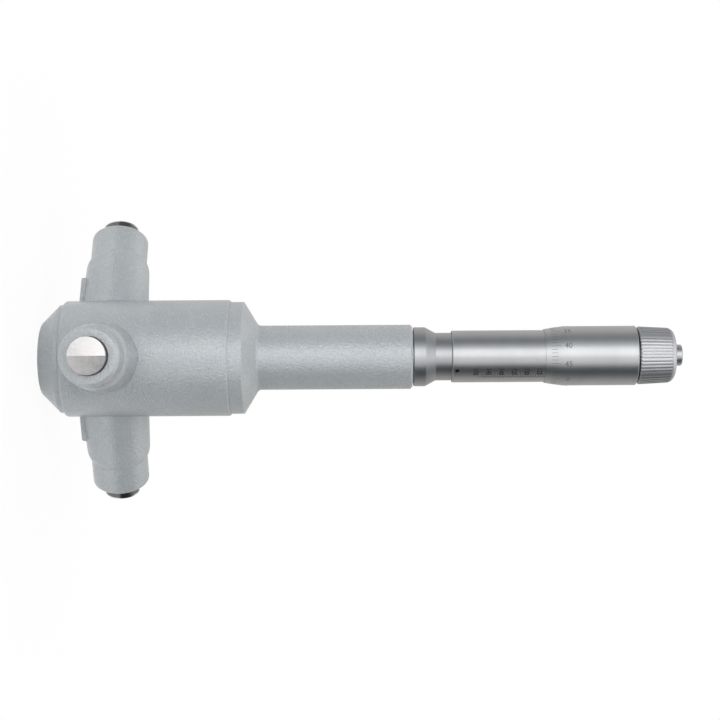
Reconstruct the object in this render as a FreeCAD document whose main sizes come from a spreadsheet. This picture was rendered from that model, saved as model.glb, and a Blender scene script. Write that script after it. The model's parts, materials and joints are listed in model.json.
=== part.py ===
import FreeCAD, Part
import math
import os
import re
import Sketcher
from FreeCAD import Placement, Rotation, Vector

# Three-point inside micrometer, range 125 to 150 mm, shown reading 125.00.
# The tool axis is +Z. The origin is the centre of the flat nose face, which the
# instrument stands on, and the ratchet end is at the top. The first arm points
# along -Y and the other two follow at 120 degree steps about +Z.
# A cone on the measuring spindle spreads three pins: its half angle has a tangent
# of 0.5, so 25 mm of spindle travel opens the contact radius by 12.5 mm.

SIZES = [
    # Running and seating clearances
    ("run_gap", 0.05, "radial clearance of a running fit"),
    ("seat_gap", 0.02, "clearance between pieces that are pressed or screwed together"),
    ("cut_over", 1.0, "run of a cut past the surface that it opens"),
    # Measuring range
    ("contact_radius", 62.5, "contact line from the tool axis at the lowest reading"),
    ("spindle_travel", 25.0, "travel of the spindle over the whole range"),
    ("cone_slope", 0.5, "tangent of the half angle of the cone"),
    # Nose cap
    ("nose_face_radius", 14.1, "flat face before its edge is rounded"),
    ("nose_rim_radius", 21.45, "large end of the nose cone"),
    ("nose_cone_height", 7.35, "45 degree nose cone"),
    ("nose_edge_round", 1.5, "edge of the nose face"),
    ("nose_wall", 2.0, "wall behind the nose face"),
    ("nose_rim_land", 1.6, "straight rim between the nose cone and the head"),
    ("nose_cavity_radius", 11.0, "room for the tip of the cone"),
    ("nose_spigot_step", 1.6, "threaded spigot of the nose cap, over the head bore"),
    ("nose_spigot_length", 5.4, "depth of that spigot in the head"),
    # Head body
    ("head_radius", 23.0, "painted head cylinder"),
    ("head_length", 65.6, "length of the head cylinder"),
    ("head_front_round", 1.6, "front edge of the head"),
    ("head_rear_chamfer", 0.5, "rear edge of the head"),
    ("bore_step", 1.0, "head bore, over the large end of the cone"),
    # Handle tube and rear cover
    ("cover_radius", 22.2, "rear cover ring"),
    ("cover_ring_length", 5.3, "straight part of the rear cover"),
    ("cover_cone_length", 5.7, "steep cone down to the handle"),
    ("cover_edge_round", 0.6, "edge of the rear cover"),
    ("cover_root_round", 2.0, "hollow between the cone and the handle"),
    ("cover_spigot_step", 2.0, "threaded spigot of the rear cover, over the head bore"),
    ("cover_spigot_length", 4.5, "depth of that spigot in the head"),
    ("cover_cavity_radius", 14.0, "room behind the cone"),
    ("cover_cavity_depth", 8.0, "depth of that room"),
    ("handle_radius", 12.75, "painted handle tube"),
    ("handle_length", 60.8, "plain length of the handle tube"),
    ("handle_end_chamfer", 0.8, "edge of the handle end"),
    ("handle_bore_radius", 9.0, "bore of the handle"),
    ("handle_floor_radius", 6.0, "hole through the floor of the handle bore"),
    ("bush_length", 8.0, "guide bush of the push rod"),
    # Barrel
    ("barrel_spigot_length", 28.3, "depth of the barrel in the handle"),
    ("barrel_spigot_radius", 9.9, "barrel spigot in the handle"),
    ("collar_gap", 0.4, "dark groove between the handle and the collar"),
    ("collar_radius", 11.72, "steel collar"),
    ("collar_length", 4.6, "width of the collar"),
    ("collar_edge_chamfer", 0.25, "edges of the collar"),
    ("neck_cone_length", 4.1, "cone between the collar and the neck"),
    ("neck_radius", 9.45, "steel neck"),
    ("neck_length", 6.4, "length of the neck up to the graduated sleeve"),
    ("barrel_tube_radius", 8.6, "barrel under the graduated sleeve"),
    ("nut_thread_step", 1.4, "outer thread for the adjusting nut, under the barrel tube"),
    ("nut_thread_lap", 6.0, "that thread below the end of the sleeve"),
    ("barrel_reach", 2.0, "barrel beyond the end of the sleeve"),
    ("rod_chamber_radius", 7.6, "room for the head of the push rod"),
    ("rod_chamber_length", 20.0, "length of that room"),
    ("spindle_guide_length", 18.0, "plain guide of the spindle"),
    ("measuring_thread_length", 18.0, "measuring thread in the barrel"),
    ("thread_relief", 0.3, "bore behind the measuring thread, over its radius"),
    # Graduated sleeve and adjusting nut
    ("sleeve_radius", 10.3, "graduated sleeve"),
    ("sleeve_length", 41.6, "length of the sleeve"),
    ("sleeve_edge_chamfer", 0.3, "edges of the sleeve"),
    ("spanner_hole_radius", 0.8, "hole for the pin of the zero setting spanner"),
    ("spanner_hole_depth", 1.2, "depth of that hole"),
    ("spanner_hole_height", 1.9, "that hole above the lower end of the sleeve"),
    ("spanner_hole_turn", 34.0, "angle from the first arm to that hole, degrees"),
    ("nut_inset", 0.2, "adjusting nut below the barrel tube"),
    ("nut_length", 5.6, "length of the adjusting nut"),
    ("nut_slot_width", 2.0, "key slots of the adjusting nut"),
    ("nut_slot_depth", 1.6, "depth of those slots"),
    # Spindle
    ("spindle_radius", 4.0, "plain measuring spindle"),
    ("spindle_thread_radius", 4.5, "measuring thread"),
    ("thread_start_room", 2.0, "spindle thread above its guide at the highest reading"),
    ("spindle_chamfer", 0.4, "edge of the spindle tip"),
    # Thimble
    ("thimble_lap", 4.9, "bevelled edge below the end of the sleeve"),
    ("thimble_edge_wall", 0.32, "thickness of that edge"),
    ("thimble_bevel_length", 7.4, "length of the graduated bevel"),
    ("thimble_skirt_wall", 1.4, "wall of the thimble"),
    ("thimble_end_room", 1.5, "end wall above the barrel at the highest reading"),
    ("thimble_end_chamfer", 0.35, "edge of that face"),
    ("thimble_wall", 2.9, "end wall of the thimble"),
    ("taper_end_radius", 3.9, "small end of the taper that holds the thimble"),
    ("clamp_gap", 0.2, "draw of the taper"),
    ("sleeve_run_gap", 0.08, "clearance between the sleeve and the thimble"),
    # Ratchet stud and its screw
    ("stud_shank_radius", 2.0, "stud thread in the spindle"),
    ("stud_shank_length", 11.8, "length of that thread"),
    ("stud_flange_radius", 8.0, "flange that clamps the thimble"),
    ("stud_flange_length", 1.4, "thickness of that flange"),
    ("stud_hub_radius", 6.0, "hub that carries the click pin"),
    ("hub_end_gap", 0.2, "hub below the end wall of the knob"),
    ("screw_thread_radius", 1.5, "thread of the end screw"),
    ("screw_thread_length", 3.2, "length of that thread"),
    ("screw_shoulder_radius", 3.4, "shoulder that the knob turns on"),
    ("screw_head_radius", 4.22, "head of the end screw"),
    ("screw_head_length", 3.05, "height of that head"),
    ("screw_head_round", 0.8, "edge of that head"),
    ("screw_slot_width", 1.0, "driver slot"),
    ("screw_slot_depth", 1.1, "depth of that slot"),
    # Ratchet knob
    ("knob_gap", 0.7, "gap between the thimble and the knob"),
    ("knob_radius", 11.5, "knob at its lower edge"),
    ("knob_end_radius", 10.75, "knob at its upper edge, before that edge is rounded"),
    ("knob_length", 14.6, "length of the knob"),
    ("knob_end_round", 3.4, "upper edge of the knob"),
    ("knob_edge_chamfer", 0.5, "lower edge of the knob"),
    ("knob_end_wall", 5.6, "end wall of the knob"),
    ("knob_recess_step", 0.6, "recess of the knob, over the flange of the stud"),
    ("knob_recess_room", 0.6, "that recess above the flange"),
    ("flute_count", 48, "flutes of the grip"),
    ("flute_depth", 0.5, "depth of a flute"),
    ("flute_width", 0.95, "width of a flute"),
    ("tooth_count", 24, "ratchet teeth inside the knob"),
    ("tooth_hub_gap", 0.4, "tips of those teeth, over the hub"),
    ("tooth_depth", 0.7, "depth of those teeth"),
    ("tooth_fill", 0.97, "share of a pitch that a tooth space takes"),
    ("tooth_cut_over", 0.3, "run of a tooth space into the bore"),
    # Click pin
    ("click_height", 3.0, "height of the click pin above the flange of the stud"),
    ("click_pin_radius", 1.0, "click pin in the hub"),
    ("click_tip_radius", 0.35, "tip of the click pin"),
    ("click_cone_length", 0.3, "cone between the pin and its tip"),
    ("click_root_gap", 0.45, "room between that tip and the roots of the teeth"),
    ("click_pin_foot", 3.6, "inner end of the click pin"),
    ("click_floor_wall", 0.3, "floor of the click hole, over the end screw"),
    ("click_tip_turn", 4.0, "angle from the steep side of a tooth to the tip, degrees"),
    ("click_wire_radius", 0.15, "wire of the click spring"),
    ("click_coil_radius", 0.75, "click spring at its wire centre"),
    ("click_spring_turns", 4, "turns of the click spring"),
    # Arms
    ("cone_tip_room", 0.815, "cone above the nose wall at the highest reading"),
    ("arm_root_radius", 13.5, "arm where it leaves the head"),
    ("arm_radius", 12.75, "arm below its shoulder"),
    ("arm_shoulder_length", 4.4, "length of the rounded shoulder"),
    ("arm_shoulder_round", 8.6, "radius of that shoulder"),
    ("arm_seam_step", 0.1, "arm at the seam, over its cap"),
    ("arm_spigot_radius", 10.0, "threaded spigot of the arm in the head"),
    ("arm_spigot_root", 2.0, "run of the spigot into the arm"),
    ("arm_foot_room", 0.2, "inner end of the arm, over the head bore"),
    ("spring_side_gap", 0.9, "room around the pin spring"),
    ("arm_thread_wall", 1.0, "wall of the outer thread for the arm cap"),
    ("cap_thread_length", 5.0, "length of that thread"),
    ("lug_offset", 13.6, "flat face of the lug, from the arm axis"),
    ("lug_width", 12.0, "width of the lug"),
    ("lug_setback", 10.4, "outer end of the lug from the seam"),
    ("lug_round", 0.8, "outer corner of the lug"),
    # Arm caps
    ("cap_wall", 0.8, "wall of the arm cap over its thread"),
    ("cap_length", 12.5, "length of the arm cap"),
    ("cap_face_ring", 0.35, "flat ring between the rounded edge and the anvil"),
    ("cap_guide_length", 4.5, "guide bore of the arm cap"),
    ("cap_skirt_room", 0.2, "room beyond the thread of the arm"),
    # Pin bushes, key screws and springs
    ("pin_bush_radius", 8.0, "bush that guides the push pin"),
    ("pin_bush_reach", 3.0, "outer end of that bush beyond the key screw"),
    ("key_setback", 4.8, "key screw from the head cylinder"),
    ("key_radius", 1.5, "key screw"),
    ("key_recess", 0.3, "key screw below the face of the lug"),
    ("key_socket_across", 1.5, "hexagon socket across flats"),
    ("key_socket_depth", 2.0, "depth of that socket"),
    ("keyway_depth", 1.3, "depth of the keyway in the pin"),
    ("keyway_end_room", 0.2, "keyway beyond the key screw at both ends of the stroke"),
    ("keyway_tip_gap", 0.2, "key screw above the floor of the keyway"),
    ("spring_wire_radius", 0.5, "wire of the pin springs"),
    ("spring_inner_gap", 0.7, "pin spring around the anvil"),
    ("spring_turns", 4, "turns of a pin spring"),
    ("spring_end_gap", 0.05, "spring ends from their seats"),
    # Push pins, anvils and foot balls
    ("pin_radius", 5.0, "push pin"),
    ("pin_foot_setback", 0.8, "inner face of the pin from the ball centre"),
    ("pin_foot_chamfer", 0.5, "edge of that face"),
    ("flange_room", 1.0, "spring flange of the push pin from its bush"),
    ("flange_thickness", 2.5, "thickness of that flange"),
    ("flange_gap", 0.3, "flange inside the arm"),
    ("tang_radius", 2.5, "tang of the anvil in the push pin"),
    ("tang_length", 7.3, "length of that tang"),
    ("anvil_radius", 7.0, "measuring anvil"),
    ("anvil_reach", 5.0, "contact line beyond the arm cap at the lowest reading"),
    ("roof_drop", 0.55, "fall of the two ground flats from the contact line to the edge"),
    ("ball_radius", 3.5, "foot ball on the cone"),
    ("ball_cone_gap", 0.06, "clearance between the ball and the cone"),
    # Cone
    ("cone_touch_radius", 2.5, "cone under the balls at the lowest reading"),
    ("cone_tip_radius", 2.2, "small end of the cone"),
    ("cone_end_room", 1.0, "large end of the cone, over the balls at the highest reading"),
    ("land_relief", 2.4, "relief between the cone and its land"),
    ("land_room", 2.93, "land below the rear cover"),
    # Push rod
    ("rod_radius", 4.0, "push rod"),
    ("rod_seat_depth", 13.0, "depth of the rod in the cone"),
    ("rod_head_room", 1.5, "room above the rod head"),
    ("rod_head_length", 4.5, "thickness of the rod head"),
    ("rod_head_gap", 0.3, "rod head inside its room"),
    ("rod_neck_radius", 3.0, "end of the rod in its head"),
    ("rod_neck_length", 3.0, "length of that end"),
    ("thrust_ball_radius", 2.5, "ball between the rod and the spindle"),
    ("rod_wire_radius", 0.7, "wire of the rod spring"),
    ("rod_coil_radius", 5.7, "rod spring at its wire centre"),
    ("rod_spring_turns", 6, "turns of the rod spring"),
    ("rod_spring_closed", 11.0, "length of the rod spring at the highest reading"),
]

ARM_COUNT = 3
NUT_SLOTS = 4
VALUES = {name: value for name, value, note in SIZES}

document = FreeCAD.newDocument("inside_micrometer")
sheet = document.addObject("Spreadsheet::Sheet", "sizes")
for row, (size_name, size_value, size_note) in enumerate(SIZES, start=1):
    sheet.set("A%d" % row, size_name)
    sheet.set("B%d" % row, str(size_value))
    sheet.setAlias("B%d" % row, size_name)
    sheet.set("C%d" % row, size_note)
document.recompute()

# Sizes that follow from the driving ones, as expressions on the sheet
LEAN = "sqrt(1 + cone_slope * cone_slope)"
STROKE = "(spindle_travel * cone_slope)"
# Along the tool axis: nose, cone and head
HEAD_FRONT = "(nose_cone_height + nose_rim_land)"
SPIGOT_TOP = "(%s + nose_spigot_length)" % HEAD_FRONT
HEAD_REAR = "(%s + head_length)" % HEAD_FRONT
COVER_SPIGOT_LOW = "(%s - cover_spigot_length)" % HEAD_REAR
CONE_TIP = "(nose_wall + cone_tip_room + spindle_travel)"
TOUCH_HEIGHT = "(%s + (cone_touch_radius - cone_tip_radius) / cone_slope)" % CONE_TIP
ARM_HEIGHT = "(%s - ball_radius * cone_slope / %s)" % (TOUCH_HEIGHT, LEAN)
CONE_TOP = "(%s + spindle_travel + cone_end_room / cone_slope)" % TOUCH_HEIGHT
LAND_LOW = "(%s + land_relief)" % CONE_TOP
LAND_HIGH = "(%s - land_room)" % COVER_SPIGOT_LOW
ROD_SEAT = "(%s - rod_seat_depth)" % LAND_HIGH
CONE_LARGE = "(cone_touch_radius + %s + cone_end_room)" % STROKE
HEAD_BORE = "(%s + bore_step)" % CONE_LARGE
NOSE_SPIGOT = "(%s + nose_spigot_step)" % HEAD_BORE
COVER_SPIGOT = "(%s + cover_spigot_step)" % HEAD_BORE
# Handle and barrel
COVER_RING_TOP = "(%s + cover_ring_length)" % HEAD_REAR
COVER_ROOT = "(%s + cover_cone_length)" % COVER_RING_TOP
CAVITY_TOP = "(%s + cover_cavity_depth)" % COVER_SPIGOT_LOW
HANDLE_END = "(%s + handle_length)" % COVER_ROOT
BARREL_FOOT = "(%s - barrel_spigot_length)" % HANDLE_END
ROD_CHAMBER_TOP = "(%s + rod_chamber_length)" % BARREL_FOOT
ROD_HEAD_TOP = "(%s - rod_head_room)" % ROD_CHAMBER_TOP
ROD_HEAD_LOW = "(%s - rod_head_length)" % ROD_HEAD_TOP
ROD_TOP = "(%s + rod_neck_length)" % ROD_HEAD_LOW
ROD_HEAD_RADIUS = "(rod_chamber_radius - rod_head_gap)"
BUSH_TOP = "(%s - spindle_travel - rod_spring_closed)" % ROD_HEAD_LOW
BUSH_FLOOR = "(%s - bush_length)" % BUSH_TOP
COLLAR_LOW = "(%s + collar_gap)" % HANDLE_END
COLLAR_TOP = "(%s + collar_length)" % COLLAR_LOW
NECK_LOW = "(%s + neck_cone_length)" % COLLAR_TOP
NECK_END = "(%s + neck_length)" % NECK_LOW
SLEEVE_TOP = "(%s + sleeve_length)" % NECK_END
NUT_THREAD_LOW = "(%s - nut_thread_lap)" % SLEEVE_TOP
NUT_THREAD_RADIUS = "(barrel_tube_radius - nut_thread_step)"
NUT_RADIUS = "(barrel_tube_radius - nut_inset)"
NUT_LOW = "(%s + seat_gap)" % NUT_THREAD_LOW
NUT_TOP = "(%s + nut_length)" % NUT_LOW
BARREL_TOP = "(%s + barrel_reach)" % SLEEVE_TOP
MEASURING_THREAD_LOW = "(%s - measuring_thread_length)" % BARREL_TOP
BARREL_THREAD_BORE = "(spindle_thread_radius + run_gap)"
SPINDLE_GUIDE_TOP = "(%s + spindle_guide_length)" % ROD_CHAMBER_TOP
# Spindle, thimble and ratchet
SPINDLE_TIP = "(%s + 2 * thrust_ball_radius + seat_gap)" % ROD_TOP
SPINDLE_THREAD_LOW = "(%s + spindle_travel + thread_start_room)" % SPINDLE_GUIDE_TOP
THIMBLE_EDGE = "(%s - thimble_lap)" % SLEEVE_TOP
THIMBLE_BORE = "(sleeve_radius + sleeve_run_gap)"
THIMBLE_EDGE_RADIUS = "(%s + thimble_edge_wall)" % THIMBLE_BORE
THIMBLE_RADIUS = "(%s + thimble_skirt_wall)" % THIMBLE_BORE
THIMBLE_FLOOR = "(%s + spindle_travel + thimble_end_room)" % BARREL_TOP
THIMBLE_END = "(%s + thimble_wall)" % THIMBLE_FLOOR
SPINDLE_TOP = "(%s - clamp_gap)" % THIMBLE_END
TAPER_FALL = "((spindle_thread_radius - taper_end_radius) / thimble_wall)"
STUD_FOOT = "(%s - stud_shank_length)" % THIMBLE_END
FLANGE_TOP = "(%s + stud_flange_length)" % THIMBLE_END
KNOB_LOW = "(%s + knob_gap)" % THIMBLE_END
KNOB_END = "(%s + knob_length)" % KNOB_LOW
KNOB_WALL_LOW = "(%s - knob_end_wall)" % KNOB_END
KNOB_RECESS_RADIUS = "(stud_flange_radius + knob_recess_step)"
TEETH_LOW = "(%s + knob_recess_room)" % FLANGE_TOP
TOOTH_TIP = "(stud_hub_radius + tooth_hub_gap)"
TOOTH_ROOT = "(%s + tooth_depth)" % TOOTH_TIP
HUB_TOP = "(%s - hub_end_gap)" % KNOB_WALL_LOW
SCREW_FOOT = "(%s - screw_thread_length)" % HUB_TOP
CLICK_HEIGHT = "(%s + click_height)" % FLANGE_TOP
CLICK_FLOOR = "(screw_thread_radius + click_floor_wall)"
CLICK_TIP = "(%s - click_root_gap)" % TOOTH_ROOT
# Along an arm, from the tool axis
BALL_PLACE = "(cone_touch_radius + ball_cone_gap + ball_radius / %s)" % LEAN
PIN_FOOT = "(%s + pin_foot_setback)" % BALL_PLACE
ARM_FOOT = "(%s + arm_foot_room)" % HEAD_BORE
CAP_END = "(contact_radius - anvil_reach)"
ARM_SEAM = "(%s - cap_length)" % CAP_END
ARM_THREAD_END = "(%s + cap_thread_length)" % ARM_SEAM
CAP_SKIRT_END = "(%s + cap_skirt_room)" % ARM_THREAD_END
CAP_FLOOR = "(%s - cap_guide_length)" % CAP_END
SHOULDER_START = "(%s - arm_shoulder_length)" % ARM_SEAM
LUG_END = "(%s - lug_setback)" % ARM_SEAM
KEY_PLACE = "(head_radius + key_setback)"
PIN_BUSH_END = "(%s + pin_bush_reach)" % KEY_PLACE
FLANGE_START = "(%s + flange_room)" % PIN_BUSH_END
FLANGE_END = "(%s + flange_thickness)" % FLANGE_START
TANG_END = "(%s - tang_length)" % FLANGE_END
# Around an arm's axis
SPRING_COIL = "(anvil_radius + spring_inner_gap + spring_wire_radius)"
ARM_CHAMBER = "(%s + spring_wire_radius + spring_side_gap)" % SPRING_COIL
ARM_THREAD = "(%s + arm_thread_wall)" % ARM_CHAMBER
CAP_RADIUS = "(%s + cap_wall)" % ARM_THREAD
ARM_SEAM_RADIUS = "(%s + arm_seam_step)" % CAP_RADIUS
CAP_END_ROUND = "(%s - anvil_radius - run_gap - cap_face_ring)" % CAP_RADIUS
FLANGE_RADIUS = "(%s - flange_gap)" % ARM_CHAMBER
KEYWAY_FLOOR = "(pin_radius - keyway_depth)"
KEY_TOP = "(lug_offset - key_recess)"
KEY_TIP = "(%s + keyway_tip_gap)" % KEYWAY_FLOOR


def on_sheet(text):
    """The expression with each size name pointed at its cell."""
    return re.sub(
        r"[a-z][a-z_]*[a-z]",
        lambda word: "sizes." + word.group() if word.group() in VALUES else word.group(),
        str(text),
    )


def number(text):
    """What an expression on the sheet comes to."""
    return float(sheet.evalExpression(on_sheet(text)))


def bind(thing, path, text):
    thing.setExpression(path, on_sheet(text))


def new_body(name):
    body = document.addObject("PartDesign::Body", name)
    body.Label = name
    return body


def origin_part(body, role):
    return [part for part in body.Origin.OriginFeatures if part.Role == role][0]


def new_sketch(body, name, plane="XZ_Plane", lift=None):
    sketch = body.newObject("Sketcher::SketchObject", name)
    sketch.AttachmentSupport = [(origin_part(body, plane), "")]
    sketch.MapMode = "FlatFace"
    if lift is not None:
        bind(sketch, "AttachmentOffset.Base.z", lift)
    return sketch


def bound_constraint(sketch, text, *definition):
    index = sketch.addConstraint(Sketcher.Constraint(*definition, number(text)))
    bind(sketch, "Constraints[%d]" % index, text)


def outline(sketch, corners):
    """A closed outline. A corner is (across, up), or (across, up, radius) where an arc of that
    radius reaches it from the corner before: a positive radius turns anticlockwise."""
    points = [Vector(number(corner[0]), number(corner[1]), 0) for corner in corners]
    for index, corner in enumerate(corners):
        start = points[index - 1]
        end = points[index]
        if len(corner) == 3:
            radius = number(corner[2])
            chord = end - start
            side = Vector(-chord.y, chord.x, 0).normalize() * math.copysign(1, radius)
            rise = math.sqrt(radius**2 - (chord.Length / 2) ** 2)
            centre = (start + end) / 2 + side * rise
            middle = centre - side * abs(radius)
            sketch.addGeometry(Part.Arc(start, middle, end))
        else:
            sketch.addGeometry(Part.LineSegment(start, end))
    for index, corner in enumerate(corners):
        after = (index + 1) % len(corners)
        end_point, start_point = (2, 1)
        if len(corner) == 3 and number(corner[2]) < 0:
            end_point = 1
        if len(corners[after]) == 3 and number(corners[after][2]) < 0:
            start_point = 2
        sketch.addConstraint(Sketcher.Constraint("Coincident", index, end_point, after, start_point))
        bound_constraint(sketch, corner[0], "DistanceX", -1, 1, index, end_point)
        bound_constraint(sketch, corner[1], "DistanceY", -1, 1, index, end_point)
        if len(corner) == 3:
            bound_constraint(sketch, "abs(%s)" % corner[2], "Radius", index)


def round_outline(sketch, across, up, radius):
    centre = Vector(number(across), number(up), 0)
    sketch.addGeometry(Part.Circle(centre, Vector(0, 0, 1), number(radius)))
    bound_constraint(sketch, across, "DistanceX", -1, 1, 0, 3)
    bound_constraint(sketch, up, "DistanceY", -1, 1, 0, 3)
    bound_constraint(sketch, radius, "Radius", 0)


def turned(body, name, corners, kind="PartDesign::Revolution"):
    """A full turn of an outline about the body's Z axis."""
    sketch = new_sketch(body, name + "_outline")
    outline(sketch, corners)
    feature = body.newObject(kind, name)
    feature.Profile = sketch
    feature.ReferenceAxis = (sketch, ["V_Axis"])
    feature.Angle = 360
    document.recompute()
    return feature


def pocketed(body, name, sketch, length=None, midplane=False, backwards=False, kind="PartDesign::Pocket"):
    """A pocket, or a pad, whose change of volume is checked."""
    before = body.Shape.Volume
    feature = body.newObject(kind, name)
    feature.Profile = sketch
    bind(feature, "Length", length)
    feature.Midplane = midplane
    feature.Reversed = backwards
    document.recompute()
    grows = kind == "PartDesign::Pad"
    if (feature.Shape.Volume > before) != grows or abs(feature.Shape.Volume - before) < 1e-6:
        raise RuntimeError("%s changed nothing" % name)
    return feature


def repeated(body, name, original, count):
    pattern = body.newObject("PartDesign::PolarPattern", name)
    pattern.Originals = [original]
    pattern.Axis = (origin_part(body, "Z_Axis"), [""])
    pattern.Angle = 360
    pattern.Occurrences = int(number(count))
    if count in VALUES:
        bind(pattern, "Occurrences", count)
    body.Tip = pattern
    document.recompute()
    return pattern


def ring_edges(shape, rings):
    """Names of the circular edges that lie on rings given as (radius, height)."""
    found = []
    for radius, height in rings:
        for index, edge in enumerate(shape.Edges, start=1):
            if not isinstance(edge.Curve, Part.Circle):
                continue
            centre = edge.Curve.Center
            off_axis = math.hypot(centre.x, centre.y)
            if off_axis < 1e-6 and abs(edge.Curve.Radius - number(radius)) < 1e-4:
                if abs(centre.z - number(height)) < 1e-4:
                    found.append("Edge%d" % index)
    if not found:
        raise RuntimeError("no edge lies on these rings: %s" % rings)
    return found


def dressed(body, name, rings, size, kind="PartDesign::Fillet"):
    """A fillet or a chamfer on circular edges of the body's tip."""
    base = body.Tip
    feature = body.newObject(kind, name)
    feature.Base = (base, ring_edges(base.Shape, rings))
    bind(feature, "Radius" if kind == "PartDesign::Fillet" else "Size", size)
    body.Tip = feature
    document.recompute()
    return feature


def arm_placement(index):
    """Where an arm's own frame lies: its Z runs outwards and its Y along the tool axis."""
    turn = Rotation(Vector(0, 0, 1), 360.0 / ARM_COUNT * (index - 1))
    return Placement(Vector(0, 0, number(ARM_HEIGHT)), turn * Rotation(Vector(1, 0, 0), 90))


def click_placement():
    """Where the click pin's own frame lies: its Z runs outwards along -Y."""
    return Placement(Vector(0, 0, number(CLICK_HEIGHT)), Rotation(Vector(1, 0, 0), 90))


def on_arm(thing, index):
    thing.Placement = arm_placement(index)
    bind(thing, "Placement.Base.z", ARM_HEIGHT)


def spring(name, wire_radius, coil_radius, turns, low, high, placement=Placement()):
    """A round wire on a helix between two seats on its own Z axis, one edge of the helix a turn."""
    bottom = number(low) + number(wire_radius) + number("spring_end_gap")
    top = number(high) - number(wire_radius) - number("spring_end_gap")
    coil = number(coil_radius)
    count = int(number(turns))
    pitch = (top - bottom) / count
    edges = []
    for turn in range(count):
        helix = Part.makeHelix(pitch, pitch, coil)
        helix.translate(Vector(0, 0, bottom + turn * pitch))
        edges += helix.Edges
    start = Vector(coil, 0, bottom)
    along = edges[0].tangentAt(edges[0].FirstParameter)
    section = Part.Wire([Part.makeCircle(number(wire_radius), start, along)])
    piece = document.addObject("Part::Feature", name)
    piece.Label = name
    piece.Shape = Part.Wire(edges).makePipeShell([section], True, True)
    piece.Placement = placement
    return piece


def ball(name, radius):
    piece = document.addObject("Part::Sphere", name)
    piece.Label = name
    bind(piece, "Radius", radius)
    return piece


def make_nose_cap():
    body = new_body("nose_cap")
    turned(body, "cap", [
        ("0", "0"),
        ("nose_face_radius", "0"),
        ("nose_rim_radius", "nose_cone_height"),
        ("nose_rim_radius", HEAD_FRONT),
        (NOSE_SPIGOT, HEAD_FRONT),
        (NOSE_SPIGOT, SPIGOT_TOP),
        ("nose_cavity_radius", SPIGOT_TOP),
        ("nose_cavity_radius", "nose_wall"),
        ("0", "nose_wall"),
    ])
    dressed(body, "face_edge", [("nose_face_radius", "0")], "nose_edge_round")
    return [body]


def make_head_body():
    body = new_body("head_body")
    turned(body, "shell", [
        (NOSE_SPIGOT + " + seat_gap", HEAD_FRONT),
        ("head_radius", HEAD_FRONT),
        ("head_radius", HEAD_REAR),
        (COVER_SPIGOT + " + seat_gap", HEAD_REAR),
        (COVER_SPIGOT + " + seat_gap", COVER_SPIGOT_LOW),
        (HEAD_BORE, COVER_SPIGOT_LOW),
        (HEAD_BORE, SPIGOT_TOP),
        (NOSE_SPIGOT + " + seat_gap", SPIGOT_TOP),
    ])
    dressed(body, "front_edge", [("head_radius", HEAD_FRONT)], "head_front_round")
    dressed(body, "rear_edge", [("head_radius", HEAD_REAR)], "head_rear_chamfer", "PartDesign::Chamfer")
    sketch = new_sketch(body, "arm_hole_outline")
    round_outline(sketch, "0", ARM_HEIGHT, "arm_spigot_radius + seat_gap")
    hole = pocketed(body, "arm_hole", sketch, "head_radius + cut_over", backwards=True)
    repeated(body, "arm_holes", hole, ARM_COUNT)
    return [body]


def make_handle_tube():
    body = new_body("handle_tube")
    turned(body, "tube", [
        ("cover_cavity_radius", COVER_SPIGOT_LOW),
        (COVER_SPIGOT, COVER_SPIGOT_LOW),
        (COVER_SPIGOT, HEAD_REAR),
        ("cover_radius", HEAD_REAR),
        ("cover_radius", COVER_RING_TOP),
        ("handle_radius", COVER_ROOT),
        ("handle_radius", HANDLE_END),
        ("barrel_spigot_radius + seat_gap", HANDLE_END),
        ("barrel_spigot_radius + seat_gap", BARREL_FOOT),
        ("handle_bore_radius", BARREL_FOOT),
        ("handle_bore_radius", BUSH_FLOOR),
        ("handle_floor_radius", BUSH_FLOOR),
        ("handle_floor_radius", CAVITY_TOP),
        ("cover_cavity_radius", CAVITY_TOP),
    ])
    dressed(body, "cover_edge", [("cover_radius", COVER_RING_TOP)], "cover_edge_round")
    dressed(body, "cover_root", [("handle_radius", COVER_ROOT)], "cover_root_round")
    dressed(
        body,
        "handle_edge",
        [("handle_radius", HANDLE_END)],
        "handle_end_chamfer",
        "PartDesign::Chamfer",
    )
    return [body]


def make_rod_guide_bush():
    body = new_body("rod_guide_bush")
    turned(body, "bush", [
        ("rod_radius + run_gap", BUSH_FLOOR),
        ("handle_bore_radius - seat_gap", BUSH_FLOOR),
        ("handle_bore_radius - seat_gap", BUSH_TOP),
        ("rod_radius + run_gap", BUSH_TOP),
    ])
    return [body]


def make_barrel():
    body = new_body("barrel")
    turned(body, "barrel_form", [
        ("rod_chamber_radius", BARREL_FOOT),
        ("barrel_spigot_radius", BARREL_FOOT),
        ("barrel_spigot_radius", COLLAR_LOW),
        ("collar_radius", COLLAR_LOW),
        ("collar_radius", COLLAR_TOP),
        ("neck_radius", NECK_LOW),
        ("neck_radius", NECK_END),
        ("barrel_tube_radius", NECK_END),
        ("barrel_tube_radius", NUT_THREAD_LOW),
        (NUT_THREAD_RADIUS, NUT_THREAD_LOW),
        (NUT_THREAD_RADIUS, BARREL_TOP),
        (BARREL_THREAD_BORE, BARREL_TOP),
        (BARREL_THREAD_BORE, MEASURING_THREAD_LOW),
        (BARREL_THREAD_BORE + " + thread_relief", MEASURING_THREAD_LOW),
        (BARREL_THREAD_BORE + " + thread_relief", SPINDLE_GUIDE_TOP),
        ("spindle_radius + run_gap", SPINDLE_GUIDE_TOP),
        ("spindle_radius + run_gap", ROD_CHAMBER_TOP),
        ("rod_chamber_radius", ROD_CHAMBER_TOP),
    ])
    dressed(
        body,
        "collar_edges",
        [("collar_radius", COLLAR_LOW), ("collar_radius", COLLAR_TOP)],
        "collar_edge_chamfer",
        "PartDesign::Chamfer",
    )
    return [body]


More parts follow.
